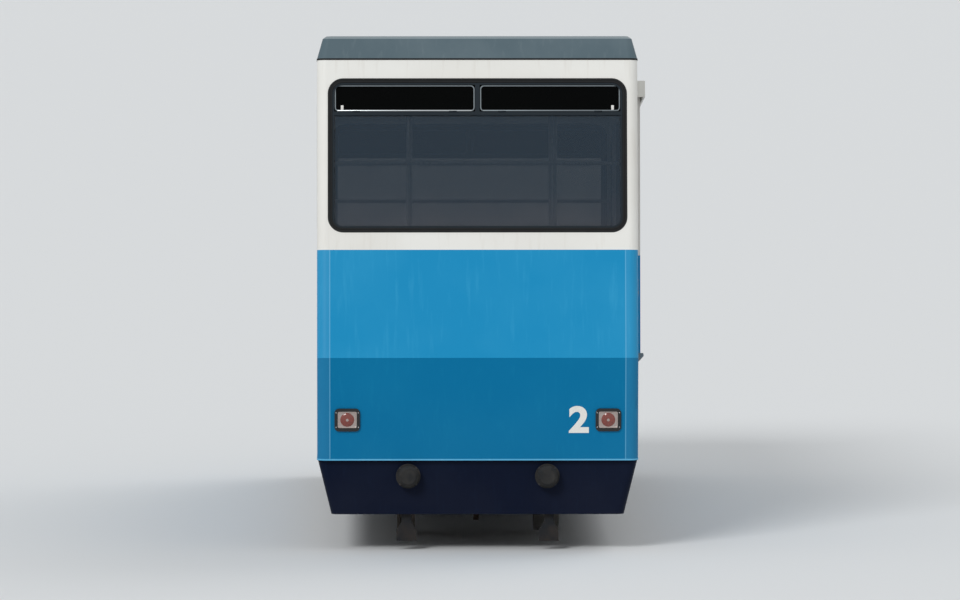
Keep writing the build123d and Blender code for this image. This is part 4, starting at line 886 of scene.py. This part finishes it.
shape = ring(DOOR_WIDTH + 2 * BULB, DOOR_HEIGHT + 2 * BULB, DOOR_RADIUS + BULB, BULB_PROFILE, 0.001, steps=4)
make("doorway_rubbers", shape, "seal_rubber",
     [on_side(y, FLOOR_Z + DOOR_HEIGHT / 2) @ at(0, 0, 0.001) for y in DOOR_CENTRES])

tread = plate(DOOR_WIDTH - 0.004, 0.112, SILL_THICK, radius=0.002, soften=0.0008, steps=2)
ribs = copies(plate(DOOR_WIDTH - 0.020, 0.004, 0.0022, radius=0.0015, soften=0.0006, steps=1),
              [at(0, y, SILL_THICK) for y in spaced(-4 * RIB_PITCH, RIB_PITCH, 9)])
make("door_sills", joined(tread, ribs), "bright_aluminium",
     [on_level(SILL_X, y, FLOOR_Z) @ spin(90, "Z") for y in DOOR_CENTRES])

bolt = turned([(0, 0), (0.011, 0), (0.011, 0.001), (0.008, 0.0015), (0.0078, 0.0055), (0.006, 0.0068),
               (0, 0.0072)], 12)
make("guide_bolts", bolt, "bright_aluminium",
     [on_side(centre + y, GUIDE_Z, x=GUIDE_X) for centre in DOOR_CENTRES for y in spaced(-1.16, 0.29, 9)])

# %% [markdown]
# Beside each doorway, low on the wall, a small square cover hides the release that opens the door by hand. It has
# a hinge on top and one square-key lock.

# %% Door release covers
RELEASE_Y, RELEASE_Z = 3.085, 1.62

cover = plate(0.110, 0.130, 0.010, radius=0.012, soften=0.003)
knuckle = moved(turned([(0, -0.040), (0.0045, -0.040), (0.0045, 0.040), (0, 0.040)], 10),
                at(0, 0.067, 0.0045) @ spin(90, "Y"))
lock = moved(turned([(0, 0.010), (0.011, 0.010), (0.011, 0.0125), (0.009, 0.0135), (0, 0.0135)], 20),
             at(0, -0.036, 0))
make("door_release_covers", joined(cover, knuckle, lock), "aluminium",
     [on_side(side * RELEASE_Y, RELEASE_Z) for side in SIDES])

# %% [markdown]
# Panels. Folded steel sheets meet in butt joints that are covered by a flat strip, with a row of rivets on each
# side of the joint. Each side wall has two, where it meets the end pieces that wrap round the corners.

# %% Panel joint strips and their rivets
JOINT_Y, JOINT_LOW, JOINT_HIGH = 3.2, 1.09, 3.315
RIVET_ROWS = (-0.011, 0.011)

height = JOINT_HIGH - JOINT_LOW
strip = plate(0.036, height, 0.0016, radius=0.003, soften=0.0006, steps=2)
rivet = turned([(0, 0), (0.0040, 0), (0.0034, 0.0008), (0.0018, 0.0012), (0, 0.0013)], 8)
rivets = copies(rivet, [at(x, y, 0.0014) for x in RIVET_ROWS for y in spaced(-height / 2 + 0.03, 0.09, 25)])
make("panel_joint_strips", joined(strip, rivets), "banded_paint",
     [on_side(side * JOINT_Y, (JOINT_LOW + JOINT_HIGH) / 2, right) for side in SIDES for right in BOTH_WALLS])

# %% [markdown]
# Side windows. The upper quarter of the wide ones slides open behind a slim aluminium bar, with a small grip in the
# middle of each half. The bar stands in the rubber, just outside the glass.

# %% Side window bars
BAR_X, BAR_Z = 1.176, 2.86
POST_Z, GRIP_Z = BAR_Z + 0.080, BAR_Z + 0.014
NARROW = 0.6
RUBBER_SIDES = 0.060

shapes = []
for right, y, width in [window for window in SIDE_WINDOWS if window[2] > NARROW]:
    clear = width - RUBBER_SIDES
    bar = plate(clear, 0.018, 0.008, soften=0.002, steps=2)
    post = plate(0.014, 0.145, 0.007, soften=0.002, steps=2)
    grip = plate(0.050, 0.010, 0.012, radius=0.004, soften=0.003, steps=2)
    for part, z, offsets in ((bar, BAR_Z, [0]), (post, POST_Z, [0]), (grip, GRIP_Z, [-clear / 4, clear / 4])):
        shapes.append(copies(part, [on_side(y + offset, z, right, x=BAR_X) for offset in offsets]))
make("side_window_bars", joined(*shapes), "aluminium")

# %% [markdown]
# The roof seams and the ribs between the seats are flat strips that bend with the surface under them. The line of
# such a strip is drawn out to its width and then given a thickness, always to the same side of the line.

# %% Bent strips


def strip_along(line, width, thick):
    """A strip that follows a line of (x, z) points, centred on Y 0, with its thickness on the line's left."""
    bm = bmesh.new()
    verts = [bm.verts.new((x, -width / 2, z)) for x, z in line]
    edges = [bm.edges.new(pair) for pair in zip(verts, verts[1:])]
    made = bmesh.ops.extrude_edge_only(bm, edges=edges)
    across = [v for v in made["geom"] if isinstance(v, bmesh.types.BMVert)]
    bmesh.ops.translate(bm, vec=(0, width, 0), verts=across)
    bmesh.ops.recalc_face_normals(bm, faces=bm.faces)
    (x, z), (next_x, next_z) = line[:2]
    if verts[0].link_faces[0].normal.dot(Vector((z - next_z, 0, next_x - x))) > 0:
        bmesh.ops.reverse_faces(bm, faces=bm.faces)
    bmesh.ops.solidify(bm, geom=list(bm.faces), thickness=thick)
    return bm


print("strips ready")

# %% [markdown]
# Roof. The sheets overlap in flat seams across the roof, each held by two rows of rivets. A single row runs along
# the foot of the sloping edge. The seams are thin strips, laid on the top and bent down at both sides.

# %% Roof seams
ROOF_TOP_Z, ROOF_SHOULDER_Z = 3.50, 3.48
# columns: x, level z, on one half of the roof from the middle outwards
ROOF_LINE = [(0.0, ROOF_TOP_Z), (1.132, ROOF_TOP_Z), (1.158, ROOF_SHOULDER_Z), (1.1985, 3.336)]
SEAM_WIDTH, SEAM_THICK, SEAM_PITCH = 0.040, 0.0018, 1.275
EDGE_RIVET_X, EDGE_RIVET_Z = 1.1935, 3.352

rivet = turned([(0, -0.0005), (0.0050, -0.0005), (0.0050, 0.0006), (0.0030, 0.0018), (0, 0.0022)], 8)
rivets = copies(rivet, [at(x, y, ROOF_TOP_Z + SEAM_THICK) for y in RIVET_ROWS for x in spaced(-1.08, 0.12, 19)])
line = [(-x, z) for x, z in reversed(ROOF_LINE[1:])] + ROOF_LINE
make("roof_seams", joined(strip_along(line, SEAM_WIDTH, SEAM_THICK), rivets), "roof_paint",
     [on_level(0, y, 0) for y in spaced(-2 * SEAM_PITCH, SEAM_PITCH, 5)])

slope = math.atan2(ROOF_LINE[2][0] - HALF_WIDTH, ROOF_SHOULDER_Z - ROOF_EDGE_Z)
rivet = turned([(0, -0.0005), (0.0045, -0.0005), (0.0045, 0.0004), (0.0025, 0.0014), (0, 0.0018)], 6)
make("roof_edge_rivets", rivet, "roof_paint",
     [on_side(y, EDGE_RIVET_Z, right, x=EDGE_RIVET_X) @ Matrix.Rotation(slope, 4, "X") for right in BOTH_WALLS
      for y in spaced(-3.20, 0.16, 41)])

# %% [markdown]
# Buffers. Each head is a round rubber block with two moulded rings round its side. Four bolts hold its steel
# plate to the stem.

# %% Buffer rings and bolts
BUFFER_X, BUFFER_Z = 0.52, 0.563
BUFFER_HEAD = 0.062
BOLT_SPREAD = 0.084


def buffer_places(back):
    """Places on the buffers' axes, that far behind the face, looking outwards."""
    low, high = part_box("buffers")
    return [at(side * BUFFER_X, tip - way * back, BUFFER_Z) @ spin(-way * 90, "X")
            for tip, way in ((low[1], -1), (high[1], 1)) for side in SIDES]


groove = turned([(0.0745, -0.004), (0.0790, -0.004), (0.0800, -0.002), (0.0800, 0.002), (0.0790, 0.004),
                 (0.0745, 0.004)], 32)
make("buffer_rings", groove, "buffer_rubber", buffer_places(0.032) + buffer_places(0.048))

head = turned([(0, 0), (0.010, 0), (0.010, 0.0045), (0.0085, 0.006), (0, 0.006)], 6)
corners = [(BOLT_SPREAD * math.cos(angle), BOLT_SPREAD * math.sin(angle))
           for angle in spaced(math.pi / 4, math.pi / 2, 4)]
make("buffer_plate_bolts", head, "axlebox_casting",
     [place @ at(x, y, 0) for place in buffer_places(BUFFER_HEAD) for x, y in corners])

# %% [markdown]
# Skirt. It hangs in sections that a fitter can take off. Each section is held along its top by quarter-turn
# fasteners, small slotted discs, and the joints between sections are narrow overlapping strips.

# %% Skirt fasteners and joints
SKIRT_TOP, SKIRT_BOTTOM = 0.679, 0.271
SKIRT_HALF, SKIRT_TAPER = 1.195, 0.100
FASTENER_Z = 0.655
SKIRT_JOINTS = (-2.135, -0.915, 0.915, 2.135)


def on_skirt(y, z, right):
    """Place on the leaning side of the skirt: X along the track, Y up the sheet, Z out of it."""
    height = SKIRT_TOP - SKIRT_BOTTOM
    x = SKIRT_HALF - SKIRT_TAPER * (SKIRT_TOP - z) / height
    place = at(x, y if right else -y, z) @ UPRIGHT @ Matrix.Rotation(math.atan2(SKIRT_TAPER, height), 4, "X")
    return place if right else HALF_TURN @ place


disc = turned([(0, -0.0005), (0.013, -0.0005), (0.013, 0.0008), (0.010, 0.0018), (0, 0.0018)], 16)
slot = moved(plate(0.018, 0.0028, 0.0004, radius=0.0004, steps=1), at(0, 0, 0.0017))
make("skirt_fasteners", joined(disc, slot), "axlebox_casting",
     [on_skirt(y, FASTENER_Z, right) for right in BOTH_WALLS for y in spaced(-3.05, 0.61, 11)])
strip = plate(0.030, 0.398, 0.0015, radius=0.002, soften=0.0005, steps=1)
make("skirt_joints", strip, "navy_paint",
     [on_skirt(y, (SKIRT_TOP + SKIRT_BOTTOM) / 2, right) for right in BOTH_WALLS for y in SKIRT_JOINTS])

# %% [markdown]
# Ceiling. Two rows of long lamp covers, milky plastic over the tubes, hang just below the lining. Between them run
# short slotted grilles for the air.

# %% Ceiling lamps and grilles
CEILING_Z = 3.315
TUBE_X, TUBE_PITCH = 0.47, 1.40
GRILLE_PITCH, SLAT_PITCH = 1.75, 0.026

cover = plate(0.150, 1.180, 0.032, radius=0.030, soften=0.010)
make("ceiling_lamp_covers", cover, "ceiling_panel",
     [on_level(x, y, CEILING_Z) @ FLIP for x in (-TUBE_X, TUBE_X) for y in spaced(-1.5 * TUBE_PITCH, TUBE_PITCH, 4)])

surround = ring(0.120, 0.700, 0.012, [(0.001, 0.002), (0.010, 0)], 0.006, steps=3)
slats = copies(plate(0.100, 0.006, 0.006, radius=0.002, steps=1),
               [at(0, y, 0) for y in spaced(-12.5 * SLAT_PITCH, SLAT_PITCH, 26)])
make("ceiling_grilles", joined(surround, slats), "aluminium",
     [on_level(0, y, CEILING_Z) @ FLIP @ at(0, 0, 0.004) for y in (-GRILLE_PITCH, 0, GRILLE_PITCH)])

# %% [markdown]
# Grab poles and the bench. Each pole ends in a round flange with three screws, at the floor and at the ceiling. On
# the long benches a raised rib marks off each seat, and follows the shell from the front edge to the top of the
# back.

# %% Pole flanges and seat ribs
# columns: x, y along the body
POLES = [(-0.50, -2.30), (-0.50, 0.0), (-0.50, 2.30), (0.62, -1.06), (0.62, 1.06)]
# columns: distance from the middle of the car, level z
SEAT_LINE = [(0.7075, 1.585), (0.7075, 1.6325), (1.0550, 1.6150), (1.0880, 2.0025), (1.1390, 2.0025)]
RIB_WIDTH, RIB_THICK = 0.014, 0.008
# columns: side of the car, half-length of the bench, seats on it
BENCHES = [(-1, 2.70, 12), (1, 0.98, 4)]

flange = turned([(0.017, 0), (0.044, 0), (0.044, 0.004), (0.041, 0.007), (0.022, 0.009), (0.0205, 0.016),
                 (0.017, 0.016)], 24)
screws = copies(turned([(0, 0), (0.0045, 0), (0.0040, 0.002), (0, 0.0024)], 8),
                [spin(120 * i, "Z") @ at(0.032, 0, 0.0078) for i in range(3)])
make("pole_flanges", joined(flange, screws), "rail_steel",
     [place for x, y in POLES for place in (on_level(x, y, FLOOR_Z), on_level(x, y, CEILING_Z) @ FLIP)])

shapes = []
for side, half, seats in BENCHES:
    rib = strip_along([(side * x, z) for x, z in SEAT_LINE][::side], RIB_WIDTH, RIB_THICK)
    seat = 2 * half / seats
    shapes.append(copies(rib, [on_level(0, y, 0) for y in spaced(seat - half, seat, seats - 1)]))
make("seat_ribs", joined(*shapes), "seat_shell")

# %% [markdown]
# The driver's desk stands beside the middle at each end. Its sloping console holds two rows of square push-buttons,
# two gauges and a lever. The same console stands at both ends, turned round.

# %% Control desks
DESK_X = -0.74
SLOPE_HIGH, SLOPE_LOW = Vector((DESK_X, -3.2998, 1.98)), Vector((DESK_X, -3.198, 1.87))
LEVER_LEAN = -0.25

across, up = Vector((-1, 0, 0)), (SLOPE_HIGH - SLOPE_LOW).normalized()
facing = Matrix((across, up, across.cross(up))).transposed().to_4x4()
console = at(*(SLOPE_HIGH + SLOPE_LOW) / 2) @ facing
desks = [LEVEL @ console, LEVEL @ HALF_TURN @ console]

make("console_panels", plate(0.640, 0.118, 0.003, radius=0.008, soften=0.001, steps=3), "lamp_plastic", desks)
buttons = copies(plate(0.022, 0.022, 0.009, soften=0.002, steps=2),
                 [at(x, y, 0.003) for x in spaced(-0.06, 0.036, 7) for y in (-0.022, 0.022)])
make("console_buttons", buttons, "desk_plastic", desks)
gauge = turned([(0, 0.003), (0.034, 0.003), (0.034, 0.009), (0.031, 0.011), (0.028, 0.011), (0.027, 0.006),
                (0, 0.006)], 28)
make("console_gauges", copies(gauge, [at(x) for x in (-0.265, -0.170)]), "aluminium", desks)
stem = turned([(0, 0.003), (0.020, 0.003), (0.018, 0.010), (0.006, 0.014), (0.0055, 0.075), (0, 0.075)], 16)
knob = turned([(0, 0.070), (0.010, 0.071), (0.015, 0.082), (0.014, 0.098), (0.008, 0.106), (0, 0.108)], 16)
lever = moved(joined(stem, knob), at(0.262) @ Matrix.Rotation(LEVER_LEAN, 4, "X"))
make("console_levers", lever, "lamp_plastic", desks)

# %% [markdown]
# Running gear. Six bolts hold the round cover of each axlebox, and a ring of bolts clamps each brake disc to its
# axle. The disc bolts turn with the wheels.

# %% Axlebox and disc bolts
AXLEBOX_FACE = 0.854
COVER_BOLTS, DISC_BOLTS = 0.066, 0.104


def on_axle(x, y):
    """Places on an axle at that distance from its middle, looking outwards."""
    return [at(side * x, y, AXLE_Z) @ spin(side * 90, "Y") for side in SIDES]


covers = on_axle(AXLEBOX_FACE, -AXLE_Y) + on_axle(AXLEBOX_FACE, AXLE_Y)
head = turned([(0, 0), (0.0125, 0), (0.0125, 0.002), (0.0100, 0.003), (0.0100, 0.009), (0.0085, 0.0105),
               (0, 0.0105)], 6)
make("axlebox_bolts", head, "axlebox_casting",
     [cover @ spin(60 * i, "Z") @ at(COVER_BOLTS) for cover in covers for i in range(6)])
make("axlebox_caps", turned([(0, 0), (0.040, 0), (0.040, 0.005), (0.036, 0.008), (0, 0.008)], 28),
     "axlebox_casting", covers)

for body, y in (("wheelset_downhill", -AXLE_Y), ("wheelset_uphill", AXLE_Y)):
    hat = turned([(0.057, 0), (0.125, 0), (0.125, 0.006), (0.080, 0.010), (0.074, 0.030), (0.057, 0.030)], 32)
    nut = turned([(0, 0), (0.010, 0), (0.010, 0.007), (0.008, 0.008), (0, 0.008)], 6)
    nuts = copies(nut, [spin(45 * i, "Z") @ at(DISC_BOLTS, 0, 0.0066) for i in range(8)])
    make(f"{body}_disc_hubs", joined(hat, nuts), "wheel_steel", on_axle(DISC_FACE, y), body)

# %% [markdown]
# A pipe is bent from one length of steel tube. Here it is a curve with a round bevel, and the bends follow from its
# points.

# %% Pipe tool


def pipes(name, routes, radius, finish):
    """Round pipes along routes of points, as one curve."""
    curve = bpy.data.curves.new(name, "CURVE")
    curve.dimensions = "3D"
    curve.bevel_depth = radius
    curve.bevel_resolution = 2
    curve.use_fill_caps = True
    for route in routes:
        spline = curve.splines.new("POLY")
        spline.points.add(len(route) - 1)
        for point, spot in zip(spline.points, route):
            point.co = (*spot, 1)
    return mount(name, curve, finish, "car")


print("pipe tool ready")

# %% [markdown]
# Pipes. Two brake pipes lie along each girder, on its bottom flange, in clips every half metre. From the inner one
# a branch crosses on the low cross member to the caliper on the axle, and another one goes down to the rail brake.

# %% Brake pipes and clips
PIPE_RADIUS = 0.009
PIPE_Z = 0.496 + PIPE_RADIUS
PIPE_X = (0.705, 0.732)
CLIP_X = 0.7185
# columns: y of the face of a cross member that looks to its axle, direction to the axle
MEMBER_FACES = [(-1.1631, -1), (1.1131, 1)]
CALIPER_Y = 1.815
# columns: x, y, z of the points of the branch down to the rail brake
BRAKE_BRANCH = [(PIPE_X[0], -0.085, PIPE_Z), (0.680, -0.085, PIPE_Z - 0.020), (0.672, -0.060, 0.300),
                (0.664, -0.030, 0.200)]

runs = [[(side * x, y, PIPE_Z) for y in (-2.50, 3.22)] for side in SIDES for x in PIPE_X]
branches = []
for side in SIDES:
    for face, way in MEMBER_FACES:
        y = face + way * 0.012
        branches.append([(side * PIPE_X[0], y, PIPE_Z), (side * 0.670, y, PIPE_Z + 0.035),
                         (side * 0.180, y, PIPE_Z + 0.035), (side * 0.160, y + way * 0.030, PIPE_Z + 0.030),
                         (side * 0.155, way * (CALIPER_Y - 0.06), 0.440), (side * 0.150, way * CALIPER_Y, 0.425)])
    branches.append([(side * x, y, z) for x, y, z in BRAKE_BRANCH])
pipes("brake_pipes", runs + branches, PIPE_RADIUS, "underframe_paint")

clip = moved(plate(0.070, 0.026, 0.004, radius=0.004, soften=0.001, steps=2), at(0, 0, PIPE_RADIUS))
foot = moved(plate(0.014, 0.026, PIPE_RADIUS * 2, steps=1), at(0, 0, -PIPE_RADIUS))
make("pipe_clips", joined(clip, foot), "aluminium",
     [at(side * CLIP_X, y, PIPE_Z) for side in SIDES for y in spaced(-2.35, 0.5, 11)])

# %% [markdown]
# The girders are bolted plates. A row of hexagon bolts runs along both edges of each bottom flange, seen only from
# below. The equipment case between them has two service covers in its bottom, each with eight screws.

# %% Flange bolts and service covers
GIRDER_X, FLANGE_BOTTOM, BOLT_OFFSET, BOLT_PITCH = 0.76, 0.482, 0.048, 0.15
JACKING_PADS, PAD_CLEARANCE = (-3.054, 3.004), 0.11
CASE_BOTTOM, CASE_Y = 0.496, -2.904
# columns: from y, to y, along the free stretches of the flange between the axlebox guides
FREE_STRETCHES = [(-3.25, -2.20), (-1.80, 1.80), (2.20, 3.20)]
DOWN = spin(180, "X")

places = []
for low, high in FREE_STRETCHES:
    count = int((high - low) / BOLT_PITCH)
    for y in spaced(low, (high - low) / count, count + 1):
        if all(abs(y - pad) >= PAD_CLEARANCE for pad in JACKING_PADS):
            places += [at(side * GIRDER_X + offset, y, FLANGE_BOTTOM) @ DOWN
                       for side in SIDES for offset in (-BOLT_OFFSET, BOLT_OFFSET)]
nut = turned([(0, 0), (0.012, 0), (0.012, 0.008), (0.010, 0.010), (0, 0.010)], 6)
make("flange_bolts", nut, "underframe_paint", places)

cover = plate(0.560, 0.560, 0.005, radius=0.030, soften=0.0015, steps=3)
screws = copies(turned([(0, 0), (0.009, 0), (0.008, 0.003), (0.004, 0.005), (0, 0.005)], 10),
                [at(x, y, 0.005) for x in (-0.255, 0, 0.255) for y in (-0.255, 0, 0.255) if x or y])
make("case_covers", joined(cover, screws), "underframe_paint",
     [at(x, CASE_Y, CASE_BOTTOM) @ DOWN for x in (-0.34, 0.34)])

# %% [markdown]
# The studio floor is one very wide disc, just under the wheels. It is so wide that its edge lies beyond what
# the long lens can show.

# %% Studio floor
FLOOR_RADIUS, FLOOR_DROP = 600, 0.001

ground = Finish("studio_floor").done({"Base Color": srgb("#dfe1e2"), "Roughness": 0.9})
shape = bmesh.new()
bmesh.ops.create_circle(shape, cap_ends=True, segments=64, radius=FLOOR_RADIUS)
mesh = bpy.data.meshes.new("studio_floor")
moved(shape, at(0, 0, -FLOOR_DROP)).to_mesh(mesh)
shape.free()
mesh.materials.append(ground)
floor = in_scene("studio_floor", mesh)
print("floor radius", FLOOR_RADIUS, "m")
